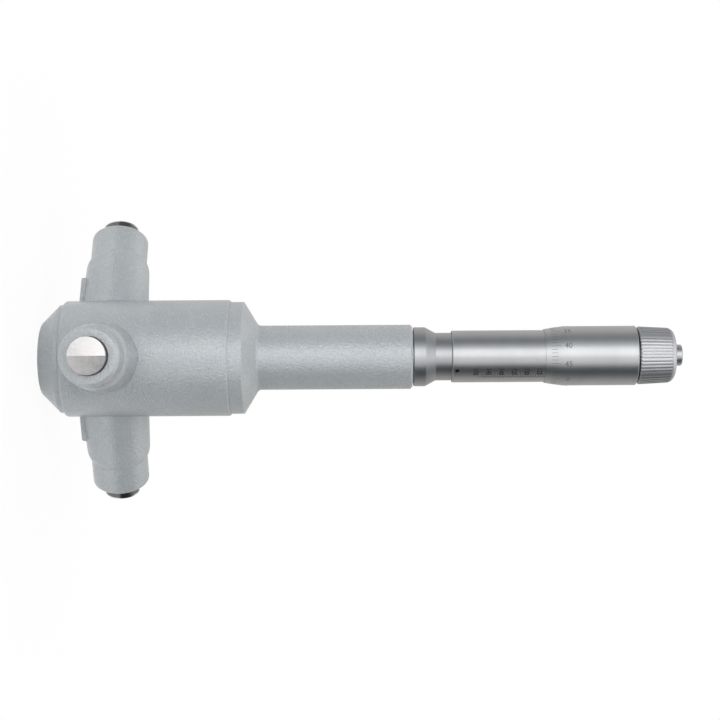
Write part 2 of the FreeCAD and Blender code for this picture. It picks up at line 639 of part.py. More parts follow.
def make_graduated_sleeve():
    body = new_body("graduated_sleeve")
    turned(body, "sleeve", [
        ("barrel_tube_radius + seat_gap", NECK_END),
        ("sleeve_radius", NECK_END),
        ("sleeve_radius", SLEEVE_TOP),
        ("barrel_tube_radius + seat_gap", SLEEVE_TOP),
    ])
    dressed(
        body,
        "sleeve_edges",
        [("sleeve_radius", NECK_END), ("sleeve_radius", SLEEVE_TOP)],
        "sleeve_edge_chamfer",
        "PartDesign::Chamfer",
    )
    # A blind hole takes the pin of the spanner that turns the sleeve to its zero
    sketch = new_sketch(body, "spanner_hole_outline", lift="sleeve_radius - spanner_hole_depth")
    round_outline(sketch, "0", NECK_END + " + spanner_hole_height", "spanner_hole_radius")
    pocketed(body, "spanner_hole", sketch, "sleeve_radius", backwards=True)
    turn = Rotation(Vector(0, 0, 1), number("spanner_hole_turn"))
    body.Placement = Placement(Vector(0, 0, 0), turn)
    return [body]


def make_adjusting_nut():
    body = new_body("adjusting_nut")
    turned(body, "ring", [
        (NUT_THREAD_RADIUS + " + seat_gap", NUT_LOW),
        (NUT_RADIUS, NUT_LOW),
        (NUT_RADIUS, NUT_TOP),
        (NUT_THREAD_RADIUS + " + seat_gap", NUT_TOP),
    ])
    sketch = new_sketch(body, "key_slot_outline", "XY_Plane", NUT_TOP)
    outline(sketch, [
        (NUT_THREAD_RADIUS + " - cut_over", "-nut_slot_width / 2"),
        (NUT_RADIUS + " + cut_over", "-nut_slot_width / 2"),
        (NUT_RADIUS + " + cut_over", "nut_slot_width / 2"),
        (NUT_THREAD_RADIUS + " - cut_over", "nut_slot_width / 2"),
    ])
    slot = pocketed(body, "key_slot", sketch, "nut_slot_depth")
    repeated(body, "key_slots", slot, NUT_SLOTS)
    return [body]


def make_cone():
    body = new_body("cone")
    turned(body, "cone_form", [
        ("0", CONE_TIP),
        ("cone_tip_radius", CONE_TIP),
        (CONE_LARGE, CONE_TOP),
        (CONE_LARGE, LAND_LOW),
        (HEAD_BORE + " - run_gap", LAND_LOW),
        (HEAD_BORE + " - run_gap", LAND_HIGH),
        ("rod_radius + seat_gap", LAND_HIGH),
        ("rod_radius + seat_gap", ROD_SEAT),
        ("0", ROD_SEAT),
    ])
    return [body]


def make_push_rod():
    body = new_body("push_rod")
    turned(body, "rod", [
        ("0", ROD_SEAT),
        ("rod_radius", ROD_SEAT),
        ("rod_radius", ROD_HEAD_LOW),
        ("rod_neck_radius", ROD_HEAD_LOW),
        ("rod_neck_radius", ROD_TOP),
        ("0", ROD_TOP),
    ])
    return [body]


def make_rod_head():
    body = new_body("rod_head")
    turned(body, "disc", [
        ("rod_neck_radius + seat_gap", ROD_HEAD_LOW),
        (ROD_HEAD_RADIUS, ROD_HEAD_LOW),
        (ROD_HEAD_RADIUS, ROD_HEAD_TOP),
        ("rod_neck_radius + seat_gap", ROD_HEAD_TOP),
    ])
    return [body]


def make_thrust_ball():
    piece = ball("thrust_ball", "thrust_ball_radius")
    bind(piece, "Placement.Base.z", ROD_TOP + " + thrust_ball_radius")
    return [piece]


def make_spindle():
    body = new_body("spindle")
    turned(body, "spindle_form", [
        ("0", SPINDLE_TIP),
        ("spindle_radius", SPINDLE_TIP),
        ("spindle_radius", SPINDLE_THREAD_LOW),
        ("spindle_thread_radius", SPINDLE_THREAD_LOW),
        ("spindle_thread_radius", THIMBLE_FLOOR),
        ("taper_end_radius + %s * clamp_gap" % TAPER_FALL, SPINDLE_TOP),
        ("stud_shank_radius + seat_gap", SPINDLE_TOP),
        ("stud_shank_radius + seat_gap", STUD_FOOT + " - clamp_gap"),
        ("0", STUD_FOOT + " - clamp_gap"),
    ])
    dressed(body, "tip_edge", [("spindle_radius", SPINDLE_TIP)], "spindle_chamfer", "PartDesign::Chamfer")
    return [body]


def make_thimble():
    body = new_body("thimble")
    turned(body, "thimble_form", [
        (THIMBLE_BORE, THIMBLE_EDGE),
        (THIMBLE_EDGE_RADIUS, THIMBLE_EDGE),
        (THIMBLE_RADIUS, THIMBLE_EDGE + " + thimble_bevel_length"),
        (THIMBLE_RADIUS, THIMBLE_END),
        ("taper_end_radius + seat_gap", THIMBLE_END),
        ("spindle_thread_radius + seat_gap", THIMBLE_FLOOR),
        (THIMBLE_BORE, THIMBLE_FLOOR),
    ])
    dressed(
        body,
        "end_edge",
        [(THIMBLE_RADIUS, THIMBLE_END)],
        "thimble_end_chamfer",
        "PartDesign::Chamfer",
    )
    return [body]


def make_ratchet_stud():
    body = new_body("ratchet_stud")
    turned(body, "stud", [
        ("0", STUD_FOOT),
        ("stud_shank_radius", STUD_FOOT),
        ("stud_shank_radius", THIMBLE_END),
        ("stud_flange_radius", THIMBLE_END),
        ("stud_flange_radius", FLANGE_TOP),
        ("stud_hub_radius", FLANGE_TOP),
        ("stud_hub_radius", HUB_TOP),
        ("screw_thread_radius + seat_gap", HUB_TOP),
        ("screw_thread_radius + seat_gap", SCREW_FOOT + " - clamp_gap"),
        ("0", SCREW_FOOT + " - clamp_gap"),
    ])
    # The click pin and its spring sit in a blind hole that opens towards -Y
    sketch = new_sketch(body, "click_hole_outline", lift=CLICK_FLOOR)
    round_outline(sketch, "0", CLICK_HEIGHT, "click_pin_radius + run_gap")
    pocketed(body, "click_hole", sketch, "stud_hub_radius", backwards=True)
    return [body]


def make_ratchet_screw():
    body = new_body("ratchet_screw")
    head_low = "(%s + run_gap)" % KNOB_END
    head_top = "(%s + screw_head_length)" % head_low
    turned(body, "screw", [
        ("0", SCREW_FOOT),
        ("screw_thread_radius", SCREW_FOOT),
        ("screw_thread_radius", HUB_TOP),
        ("screw_shoulder_radius", HUB_TOP),
        ("screw_shoulder_radius", head_low),
        ("screw_head_radius", head_low),
        ("screw_head_radius", head_top),
        ("0", head_top),
    ])
    dressed(body, "head_edge", [("screw_head_radius", head_top)], "screw_head_round")
    sketch = new_sketch(body, "slot_outline", "XY_Plane", head_top)
    outline(sketch, [
        ("-screw_head_radius - cut_over", "-screw_slot_width / 2"),
        ("screw_head_radius + cut_over", "-screw_slot_width / 2"),
        ("screw_head_radius + cut_over", "screw_slot_width / 2"),
        ("-screw_head_radius - cut_over", "screw_slot_width / 2"),
    ])
    pocketed(body, "slot", sketch, "screw_slot_depth")
    return [body]


def make_ratchet_knob():
    body = new_body("ratchet_knob")
    turned(body, "grip", [
        (KNOB_RECESS_RADIUS, KNOB_LOW),
        ("knob_radius", KNOB_LOW),
        ("knob_end_radius", KNOB_END),
        ("screw_shoulder_radius + run_gap", KNOB_END),
        ("screw_shoulder_radius + run_gap", KNOB_WALL_LOW),
        (TOOTH_TIP, KNOB_WALL_LOW),
        (TOOTH_TIP, TEETH_LOW),
        (KNOB_RECESS_RADIUS, TEETH_LOW),
    ])
    dressed(body, "end_round", [("knob_end_radius", KNOB_END)], "knob_end_round")
    dressed(body, "low_edge", [("knob_radius", KNOB_LOW)], "knob_edge_chamfer", "PartDesign::Chamfer")

    # Saw teeth: each space rises from its steep side to the tip circle over one pitch
    steep = "(-90 - click_tip_turn)"
    shallow = "(%s + tooth_fill * 360 / tooth_count)" % steep
    inner = "(%s - tooth_cut_over)" % TOOTH_TIP
    sketch = new_sketch(body, "tooth_outline", "XY_Plane", TEETH_LOW)
    outline(sketch, [
        ("%s * cos(%s)" % (radius, angle), "%s * sin(%s)" % (radius, angle))
        for radius, angle in ((inner, steep), (TOOTH_ROOT, steep), (TOOTH_TIP, shallow), (inner, shallow))
    ])
    tooth = pocketed(body, "tooth_space", sketch, "%s - %s" % (KNOB_WALL_LOW, TEETH_LOW), backwards=True)
    repeated(body, "teeth", tooth, "tooth_count")

    # Grip flutes: a vee that follows the taper, from the lower edge to the rounded end
    flute_low = new_sketch(body, "flute_low_outline", "XY_Plane", KNOB_LOW)
    flute_high = new_sketch(body, "flute_high_outline", "XY_Plane", KNOB_END)
    for sketch, radius in ((flute_low, "knob_radius"), (flute_high, "knob_end_radius")):
        outline(sketch, [
            ("%s - flute_depth" % radius, "0"),
            ("%s + flute_depth" % radius, "-flute_width"),
            ("%s + flute_depth" % radius, "flute_width"),
        ])
    flute = body.newObject("PartDesign::SubtractiveLoft", "flute")
    flute.Profile = flute_low
    flute.Sections = [flute_high]
    flute.Ruled = True
    document.recompute()
    repeated(body, "flutes", flute, "flute_count")
    return [body]


def make_click_pin():
    body = new_body("click_pin")
    turned(body, "pin", [
        ("0", "click_pin_foot"),
        ("click_pin_radius", "click_pin_foot"),
        ("click_pin_radius", "stud_hub_radius - click_cone_length"),
        ("click_tip_radius", "stud_hub_radius"),
        ("click_tip_radius", CLICK_TIP),
        ("0", CLICK_TIP),
    ])
    body.Placement = click_placement()
    bind(body, "Placement.Base.z", CLICK_HEIGHT)
    return [body]


def make_arm(index):
    body = new_body("arm_%d" % index)
    turned(body, "arm_form", [
        ("0", ARM_FOOT),
        ("arm_root_radius", ARM_FOOT),
        ("arm_root_radius", "head_radius"),
        ("arm_radius", SHOULDER_START),
        (ARM_SEAM_RADIUS, ARM_SEAM, "arm_shoulder_round"),
        (ARM_THREAD, ARM_SEAM),
        (ARM_THREAD, ARM_THREAD_END),
        ("0", ARM_THREAD_END),
    ])
    # The lug lies on the side towards the nose and carries the key screw
    sketch = new_sketch(body, "lug_outline", "YZ_Plane")
    outline(sketch, [
        ("0", ARM_FOOT),
        ("0", LUG_END),
        ("-lug_offset + lug_round", LUG_END),
        ("-lug_offset", LUG_END + " - lug_round", "lug_round"),
        ("-lug_offset", ARM_FOOT),
    ])
    pocketed(body, "lug", sketch, "lug_width", midplane=True, kind="PartDesign::Pad")
    # The arm is saddled to the head cylinder, and its spigot enters the head
    sketch = new_sketch(body, "saddle_outline")
    round_outline(sketch, "0", "0", "head_radius + seat_gap")
    pocketed(body, "saddle", sketch, "2 * (lug_offset + arm_root_radius)", midplane=True)
    turned(body, "spigot", [
        ("0", ARM_FOOT),
        ("arm_spigot_radius", ARM_FOOT),
        ("arm_spigot_radius", "head_radius + arm_spigot_root"),
        ("0", "head_radius + arm_spigot_root"),
    ])
    turned(body, "bore", [
        ("0", ARM_FOOT + " - cut_over"),
        ("pin_bush_radius + seat_gap", ARM_FOOT + " - cut_over"),
        ("pin_bush_radius + seat_gap", PIN_BUSH_END),
        (ARM_CHAMBER, PIN_BUSH_END),
        (ARM_CHAMBER, ARM_THREAD_END + " + cut_over"),
        ("0", ARM_THREAD_END + " + cut_over"),
    ], "PartDesign::Groove")
    sketch = new_sketch(body, "key_hole_outline")
    round_outline(sketch, "0", KEY_PLACE, "key_radius + seat_gap")
    pocketed(body, "key_hole", sketch, "lug_offset + cut_over", backwards=True)
    on_arm(body, index)
    return [body]


def make_arm_cap(index):
    body = new_body("arm_cap_%d" % index)
    turned(body, "cap", [
        ("anvil_radius + run_gap", CAP_END),
        ("anvil_radius + run_gap", CAP_FLOOR),
        (ARM_CHAMBER, CAP_FLOOR),
        (ARM_CHAMBER, CAP_SKIRT_END),
        (ARM_THREAD + " + seat_gap", CAP_SKIRT_END),
        (ARM_THREAD + " + seat_gap", ARM_SEAM),
        (CAP_RADIUS, ARM_SEAM),
        (CAP_RADIUS, CAP_END),
    ])
    dressed(body, "end_round", [(CAP_RADIUS, CAP_END)], CAP_END_ROUND)
    on_arm(body, index)
    return [body]


def make_pin_bush(index):
    body = new_body("pin_bush_%d" % index)
    turned(body, "bush", [
        ("pin_radius + run_gap", ARM_FOOT),
        ("pin_bush_radius", ARM_FOOT),
        ("pin_bush_radius", PIN_BUSH_END),
        ("pin_radius + run_gap", PIN_BUSH_END),
    ])
    sketch = new_sketch(body, "key_hole_outline")
    round_outline(sketch, "0", KEY_PLACE, "key_radius + seat_gap")
    pocketed(body, "key_hole", sketch, "pin_bush_radius + cut_over", backwards=True)
    on_arm(body, index)
    return [body]


def make_key_screw(index):
    """A set screw in the lug, whose dog point keeps the pin from turning."""
    body = new_body("key_screw_%d" % index)
    turned(body, "screw", [
        ("0", "0"),
        ("key_radius", "0"),
        ("key_radius", "%s - %s" % (KEY_TOP, KEY_TIP)),
        ("0", "%s - %s" % (KEY_TOP, KEY_TIP)),
    ])
    sketch = new_sketch(body, "socket_outline", "XY_Plane")
    corner_radius = "(key_socket_across / sqrt(3))"
    outline(sketch, [
        ("%s * cos(%d)" % (corner_radius, angle), "%s * sin(%d)" % (corner_radius, angle))
        for angle in range(0, 360, 60)
    ])
    pocketed(body, "socket", sketch, "key_socket_depth", backwards=True)
    place = Vector(0, -number(KEY_TOP), number(KEY_PLACE))
    body.Placement = arm_placement(index) * Placement(place, Rotation(Vector(1, 0, 0), -90))
    angle = 360.0 / ARM_COUNT * (index - 1)
    bind(body, "Placement.Base.x", "%s * sin(%g)" % (KEY_PLACE, angle))
    bind(body, "Placement.Base.y", "-%s * cos(%g)" % (KEY_PLACE, angle))
    bind(body, "Placement.Base.z", "%s - %s" % (ARM_HEIGHT, KEY_TOP))
    return [body]


def make_push_pin(index):
    body = new_body("push_pin_%d" % index)
    socket = "(%s + ball_radius + seat_gap)" % BALL_PLACE
    turned(body, "pin", [
        ("ball_radius + seat_gap", PIN_FOOT),
        ("pin_radius", PIN_FOOT),
        ("pin_radius", FLANGE_START),
        (FLANGE_RADIUS, FLANGE_START),
        (FLANGE_RADIUS, FLANGE_END),
        ("tang_radius + seat_gap", FLANGE_END),
        ("tang_radius + seat_gap", TANG_END + " - clamp_gap"),
        ("0", TANG_END + " - clamp_gap"),
        ("0", socket),
        ("ball_radius + seat_gap", socket),
    ])
    dressed(body, "foot_edge", [("pin_radius", PIN_FOOT)], "pin_foot_chamfer", "PartDesign::Chamfer")
    # The keyway leaves room for the whole stroke past the key screw
    sketch = new_sketch(body, "keyway_outline", lift=KEYWAY_FLOOR)
    low = "%s - %s - key_radius - keyway_end_room" % (KEY_PLACE, STROKE)
    high = "%s + key_radius + keyway_end_room" % KEY_PLACE
    outline(sketch, [
        ("-key_radius - run_gap", low),
        ("key_radius + run_gap", low),
        ("key_radius + run_gap", high),
        ("-key_radius - run_gap", high),
    ])
    pocketed(body, "keyway", sketch, "pin_radius", backwards=True)
    on_arm(body, index)
    return [body]


def make_anvil(index):
    body = new_body("anvil_%d" % index)
    turned(body, "anvil_form", [
        ("0", TANG_END),
        ("tang_radius", TANG_END),
        ("tang_radius", FLANGE_END),
        ("anvil_radius", FLANGE_END),
        ("anvil_radius", "contact_radius"),
        ("0", "contact_radius"),
    ])
    # Two ground flats meet in the contact line, which runs along the tool axis
    for name, side in (("left_flat", "-"), ("right_flat", "")):
        sketch = new_sketch(body, name + "_outline")
        outline(sketch, [
            ("0", "contact_radius"),
            (side + "2 * anvil_radius", "contact_radius - 2 * roof_drop"),
            (side + "2 * anvil_radius", "contact_radius + cut_over"),
            ("0", "contact_radius + cut_over"),
        ])
        pocketed(body, name, sketch, "4 * anvil_radius", midplane=True)
    on_arm(body, index)
    return [body]


def make_foot_ball(index):
    piece = ball("foot_ball_%d" % index, "ball_radius")
    angle = 360.0 / ARM_COUNT * (index - 1)
    bind(piece, "Placement.Base.x", "%s * sin(%g)" % (BALL_PLACE, angle))
    bind(piece, "Placement.Base.y", "-%s * cos(%g)" % (BALL_PLACE, angle))
    bind(piece, "Placement.Base.z", ARM_HEIGHT)
    return [piece]


pieces = []
pieces += make_nose_cap()
pieces += make_head_body()
pieces += make_handle_tube()
pieces += make_rod_guide_bush()
pieces += make_barrel()
pieces += make_graduated_sleeve()
pieces += make_adjusting_nut()
pieces += make_cone()
pieces += make_push_rod()
pieces += make_rod_head()
pieces += make_thrust_ball()
pieces += make_spindle()
pieces += make_thimble()
pieces += make_ratchet_stud()
pieces += make_ratchet_screw()
pieces += make_ratchet_knob()
pieces += make_click_pin()
for arm in range(1, ARM_COUNT + 1):
    pieces += make_arm(arm)
    pieces += make_arm_cap(arm)
    pieces += make_pin_bush(arm)
    pieces += make_key_screw(arm)
    pieces += make_push_pin(arm)
    pieces += make_anvil(arm)
    pieces += make_foot_ball(arm)
    pieces.append(
        spring(
            "pin_spring_%d" % arm,
            "spring_wire_radius",
            SPRING_COIL,
            "spring_turns",
            FLANGE_END,
            CAP_FLOOR,
            arm_placement(arm),
        )
    )
pieces.append(
    spring(
        "click_spring",
        "click_wire_radius",
        "click_coil_radius",
        "click_spring_turns",
        CLICK_FLOOR,
        "click_pin_foot",
        click_placement(),
    )
)
pieces.append(
    spring(
        "rod_spring",
        "rod_wire_radius",
        "rod_coil_radius",
        "rod_spring_turns",
        BUSH_TOP,
        ROD_HEAD_LOW,
    )
)
document.recompute()

for thing in document.Objects:
    if "Invalid" in thing.State or "Error" in thing.State:
        raise RuntimeError("%s failed: %s" % (thing.Name, thing.State))
os.makedirs("parts", exist_ok=True)
for piece in pieces:
    shape = piece.Shape
    if shape.isNull() or not shape.isValid() or len(shape.Solids) < 1:
        raise RuntimeError("%s has no valid shape" % piece.Label)
for piece in pieces:
    piece.Shape.exportStep("parts/%s.step" % piece.Label)
    print(piece.Label, len(piece.Shape.Solids), round(piece.Shape.Volume, 2))
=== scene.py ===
import json
import math

import bmesh
import bpy
from mathutils import Matrix, Vector


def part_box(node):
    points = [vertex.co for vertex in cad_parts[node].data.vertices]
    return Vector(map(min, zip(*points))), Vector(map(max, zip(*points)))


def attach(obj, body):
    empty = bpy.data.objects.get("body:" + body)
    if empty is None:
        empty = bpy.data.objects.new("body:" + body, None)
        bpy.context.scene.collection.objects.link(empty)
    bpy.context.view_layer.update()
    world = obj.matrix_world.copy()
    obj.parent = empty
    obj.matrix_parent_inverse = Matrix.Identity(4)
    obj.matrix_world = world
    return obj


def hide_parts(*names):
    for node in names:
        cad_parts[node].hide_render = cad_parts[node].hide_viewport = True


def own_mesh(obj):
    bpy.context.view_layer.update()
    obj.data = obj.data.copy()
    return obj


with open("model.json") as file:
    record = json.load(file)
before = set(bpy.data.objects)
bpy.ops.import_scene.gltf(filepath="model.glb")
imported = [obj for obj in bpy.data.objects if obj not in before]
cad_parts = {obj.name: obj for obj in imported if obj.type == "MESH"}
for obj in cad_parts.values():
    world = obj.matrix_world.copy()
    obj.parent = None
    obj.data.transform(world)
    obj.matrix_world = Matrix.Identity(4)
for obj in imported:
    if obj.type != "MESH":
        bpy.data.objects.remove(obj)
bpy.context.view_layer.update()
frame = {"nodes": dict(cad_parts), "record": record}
cadNodes = frame["nodes"]
mm = 0.001
print("loaded", len(cadNodes), "pieces of the micrometer")


# Camera: the tool lies with its nose to the left, the first arm points at the camera
cameraSettings = {
    "lens": 85.0,
    "sensor": 36.0,
    "distance": 675.0,
    "lookAtHeight": 125.65,
    "lookAtSide": 1.16,
    "swing": 0.9,       # degrees about the tool axis
    "lean": 0.36,       # degrees by which the knob end stands higher
}


def placeCamera(s):
    target = Vector((s["lookAtSide"], 0, s["lookAtHeight"])) * mm
    swing = math.radians(s["swing"])
    back = Vector((math.sin(swing), -math.cos(swing), 0))
    alongTool = Vector((0, 0, 1))
    upward = back.cross(alongTool)
    lean = math.radians(s["lean"])
    right = alongTool * math.cos(lean) - upward * math.sin(lean)
    up = alongTool * math.sin(lean) + upward * math.cos(lean)
    camera = bpy.data.objects.new("photoCamera", bpy.data.cameras.new("photoCamera"))
    camera.data.lens = s["lens"]
    camera.data.sensor_width = s["sensor"]
    camera.data.clip_start = 0.01
    camera.data.clip_end = 20
    turned = Matrix((right, up, back)).transposed().to_4x4()
    camera.matrix_world = Matrix.Translation(target + back * s["distance"] * mm) @ turned
    bpy.context.scene.collection.objects.link(camera)
    bpy.context.scene.camera = camera


placeCamera(cameraSettings)
bpy.context.scene.view_settings.view_transform = "Standard"
print("camera placed")


# Light: one long softbox in front and a little above, and a pale room with two dark gaps
lightSettings = {
    "boxAngle": 15.5,    # degrees from the camera towards the top of the picture
    "boxHeight": 0.18,
    "boxDistance": 1.0,
    "boxWidth": 0.58,
    "boxLength": 1.9,
    "boxRadiance": 0.92,
    "boxColour": (0.985, 1.0, 1.02),
    "roomEnds": 1.5,
    "endsStart": 0.75,   # how steep a direction along the tool is where the room's ends begin
    "endsFull": 0.98,
}


def addSoftbox(s):
    angle = math.radians(s["boxAngle"])
    data = bpy.data.lights.new("softbox", "AREA")
    data.shape = "RECTANGLE"
    data.size = s["boxWidth"]
    data.size_y = s["boxLength"]
    data.energy = s["boxRadiance"] * math.pi * s["boxWidth"] * s["boxLength"]
    data.color = s["boxColour"]
    lamp = bpy.data.objects.new("softbox", data)
    back = Vector((-math.sin(angle), -math.cos(angle), 0))
    across = Vector((0, 0, 1)).cross(back)
    turned = Matrix((across, Vector((0, 0, 1)), back)).transposed().to_4x4()
    lamp.matrix_world = Matrix.Translation(back * s["boxDistance"] + Vector((0, 0, s["boxHeight"]))) @ turned
    lamp.visible_camera = False
    bpy.context.scene.collection.objects.link(lamp)


def link(tree, start, startSocket, end, endSocket):
    tree.links.new(start.outputs[startSocket], end.inputs[endSocket])


def addNode(tree, kind, place, **values):
    node = tree.nodes.new(kind)
    node.location = place
    for name, value in values.items():
        setattr(node, name, value)
    return node


def mathNode(tree, operation, place, first, second=None):
    node = addNode(tree, "ShaderNodeMath", place, operation=operation)
    for index, given in enumerate((first, second)):
        if given is None:
            continue
        if isinstance(given, (int, float)):
            node.inputs[index].default_value = given
        else:
            tree.links.new(given, node.inputs[index])
    return node.outputs[0]


# Brightness of the room round the tool axis: degrees from the camera side, grey level, warmth
roomGreys = [
    (-180, 0.66, 0.03), (-130, 0.61, 0.03), (-108, 0.48, 0.02), (-88, 0.24, -0.02), (-70, 0.08, -0.08),
    (-48, 0.095, -0.1), (-38, 0.58, -0.05), (-27, 1.08, 0), (0, 1.18, 0), (10, 0.98, 0), (28, 0.98, 0),
    (36, 0.94, 0), (47, 0.68, -0.04), (60, 0.34, -0.06), (80, 0.33, -0.04), (96, 0.55, 0),
    (118, 0.72, 0.02), (145, 0.74, 0.03), (180, 0.66, 0.03),
]


def buildRoom(s):
    world = bpy.data.worlds.new("paleRoom")
    world.use_nodes = True
    tree = world.node_tree
    tree.nodes.clear()
    direction = addNode(tree, "ShaderNodeTexCoord", (-1200, 0))
    parts = addNode(tree, "ShaderNodeSeparateXYZ", (-1000, 0))
    link(tree, direction, "Generated", parts, 0)
    upward = mathNode(tree, "MULTIPLY", (-820, 100), parts.outputs[0], -1)
    forward = mathNode(tree, "MULTIPLY", (-820, -60), parts.outputs[1], -1)
    around = mathNode(tree, "ARCTAN2", (-640, 60), upward, forward)
    spread = addNode(tree, "ShaderNodeMapRange", (-460, 60))
    spread.inputs["From Min"].default_value = -math.pi
    spread.inputs["From Max"].default_value = math.pi
    tree.links.new(around, spread.inputs["Value"])
    ramp = addNode(tree, "ShaderNodeValToRGB", (-260, 60))
    stops = ramp.color_ramp.elements
    while len(stops) < len(roomGreys):
        stops.new(0.5)
    for stop, (degrees, grey, warmth) in zip(stops, roomGreys):
        stop.position = (degrees + 180) / 360
        stop.color = (grey * (1 + warmth), grey, grey * (1 - warmth), 1)
    link(tree, spread, 0, ramp, 0)
    steep = mathNode(tree, "ABSOLUTE", (-460, -200), parts.outputs[2])
    ends = addNode(tree, "ShaderNodeMapRange", (-260, -200))
    ends.inputs["From Min"].default_value = s["endsStart"]
    ends.inputs["From Max"].default_value = s["endsFull"]
    tree.links.new(steep, ends.inputs["Value"])
    room = addNode(tree, "ShaderNodeMix", (0, 0), data_type="RGBA")
    link(tree, ends, 0, room, 0)
    link(tree, ramp, 0, room, 6)
    room.inputs[7].default_value = (s["roomEnds"],) * 3 + (1,)
    path = addNode(tree, "ShaderNodeLightPath", (-260, 420))
    walls = addNode(tree, "ShaderNodeBackground", (220, 0))
    link(tree, room, 2, walls, "Color")
    seen = addNode(tree, "ShaderNodeBackground", (220, 160))
    seen.inputs["Color"].default_value = (1, 1, 1, 1)
    clear = mathNode(
        tree, "MAXIMUM", (220, 380), path.outputs["Is Camera Ray"], path.outputs["Is Transmission Ray"])
    both = addNode(tree, "ShaderNodeMixShader", (640, 60))
    tree.links.new(clear, both.inputs[0])
    link(tree, walls, 0, both, 1)
    link(tree, seen, 0, both, 2)
    out = addNode(tree, "ShaderNodeOutputWorld", (840, 60))
    link(tree, both, 0, out, 0)
    bpy.context.scene.world = world


addSoftbox(lightSettings)
buildRoom(lightSettings)
print("light set")


# Floor: a pale round board under the nose face
floorSettings = {
    "radius": 0.21,
    "sides": 128,
    "grey": 0.96,
    "greySpread": 0.02,
    "grainScale": 60,
    "glow": 0.94,
    "glossGlow": 0.8,
    "edgeStart": 0.06,
    "edgeEnd": 0.19,
}


def buildFloor(s):
    material = bpy.data.materials.new("paleFloor")
    material.use_nodes = True
    tree = material.node_tree
    tree.nodes.clear()
    where = addNode(tree, "ShaderNodeTexCoord", (-800, 0))
    grain = addNode(tree, "ShaderNodeTexNoise", (-600, 0))
    grain.inputs["Scale"].default_value = s["grainScale"]
    link(tree, where, "Object", grain, "Vector")
    tone = addNode(tree, "ShaderNodeValToRGB", (-400, 0))
    tone.color_ramp.elements[0].color = (s["grey"] - s["greySpread"],) * 3 + (1,)
    tone.color_ramp.elements[1].color = (s["grey"] + s["greySpread"],) * 3 + (1,)
    link(tree, grain, 0, tone, 0)
    matt = addNode(tree, "ShaderNodeBsdfDiffuse", (-100, -60))
    link(tree, tone, 0, matt, "Color")
    white = addNode(tree, "ShaderNodeEmission", (-100, 100))
    path = addNode(tree, "ShaderNodeLightPath", (-400, 400))
    share = s["glossGlow"] / s["glow"]
    dimmed = mathNode(tree, "MULTIPLY", (-400, 560), path.outputs["Is Glossy Ray"], share)
    anyOf = mathNode(tree, "MAXIMUM", (-240, 400), path.outputs["Is Camera Ray"], dimmed)
    orClear = mathNode(tree, "MAXIMUM", (-100, 400), anyOf, path.outputs["Is Transmission Ray"])
    reach = addNode(tree, "ShaderNodeVectorMath", (-600, 300), operation="LENGTH")
    link(tree, where, "Object", reach, 0)
    fade = addNode(tree, "ShaderNodeMapRange", (-400, 240), interpolation_type="SMOOTHSTEP")
    fade.inputs["From Min"].default_value = s["edgeStart"]
    fade.inputs["From Max"].default_value = s["edgeEnd"]
    fade.inputs["To Min"].default_value = s["glow"]
    fade.inputs["To Max"].default_value = 1
    link(tree, reach, "Value", fade, "Value")
    bright = mathNode(tree, "MULTIPLY", (-100, 240), orClear, fade.outputs[0])
    mix = addNode(tree, "ShaderNodeMixShader", (140, 60))
    tree.links.new(bright, mix.inputs[0])
    link(tree, matt, 0, mix, 1)
    link(tree, white, 0, mix, 2)
    out = addNode(tree, "ShaderNodeOutputMaterial", (340, 60))
    link(tree, mix, 0, out, "Surface")
    board = bmesh.new()
    bmesh.ops.create_circle(board, cap_ends=True, radius=s["radius"], segments=s["sides"])
    mesh = bpy.data.meshes.new("floor")
    board.to_mesh(mesh)
    board.free()
    mesh.materials.append(material)
    floor = bpy.data.objects.new("floor", mesh)
    bpy.context.scene.collection.objects.link(floor)


buildFloor(floorSettings)
print("floor laid")


# Finishes
def newFinish(name, rough, metal, **sockets):
    material = bpy.data.materials.new(name)
    material.use_nodes = True
    tree = material.node_tree
    shader = tree.nodes["Principled BSDF"]
    shader.inputs["Roughness"].default_value = rough
    shader.inputs["Metallic"].default_value = metal
    for socket, value in sockets.items():
        shader.inputs[socket.replace("_", " ")].default_value = value
    where = addNode(tree, "ShaderNodeTexCoord", (-1600, 0))
    return material, tree, shader, where


def noiseOn(tree, where, place, scale, detail, stretch=(1, 1, 1), rough=0.5):
    mapping = addNode(tree, "ShaderNodeMapping", (place[0] - 200, place[1]))
    mapping.inputs["Scale"].default_value = stretch
    link(tree, where, "Object", mapping, 0)
    noise = addNode(tree, "ShaderNodeTexNoise", place)
    noise.inputs["Scale"].default_value = scale
    noise.inputs["Detail"].default_value = detail
    noise.inputs["Roughness"].default_value = rough
    link(tree, mapping, 0, noise, "Vector")
    return noise


def rampOn(tree, source, socket, place, low, high, dark, pale):
    ramp = addNode(tree, "ShaderNodeValToRGB", place)
    ramp.color_ramp.elements[0].position = low
    ramp.color_ramp.elements[0].color = (*dark, 1)
    ramp.color_ramp.elements[1].position = high
    ramp.color_ramp.elements[1].color = (*pale, 1)
    link(tree, source, socket, ramp, 0)
    return ramp


def bumpOn(tree, source, socket, place, strength, distance, before=None):
    bump = addNode(tree, "ShaderNodeBump", place)
    bump.inputs["Strength"].default_value = strength
    bump.inputs["Distance"].default_value = distance
    link(tree, source, socket, bump, "Height")
    if before:
        link(tree, before, 0, bump, "Normal")
    return bump


def rangeOn(tree, source, socket, place, low, high):
    spread = addNode(tree, "ShaderNodeMapRange", place)
    spread.inputs["From Min"].default_value = 0.3
    spread.inputs["From Max"].default_value = 0.7
    spread.inputs["To Min"].default_value = low
    spread.inputs["To Max"].default_value = high
    link(tree, source, socket, spread, "Value")
    return spread


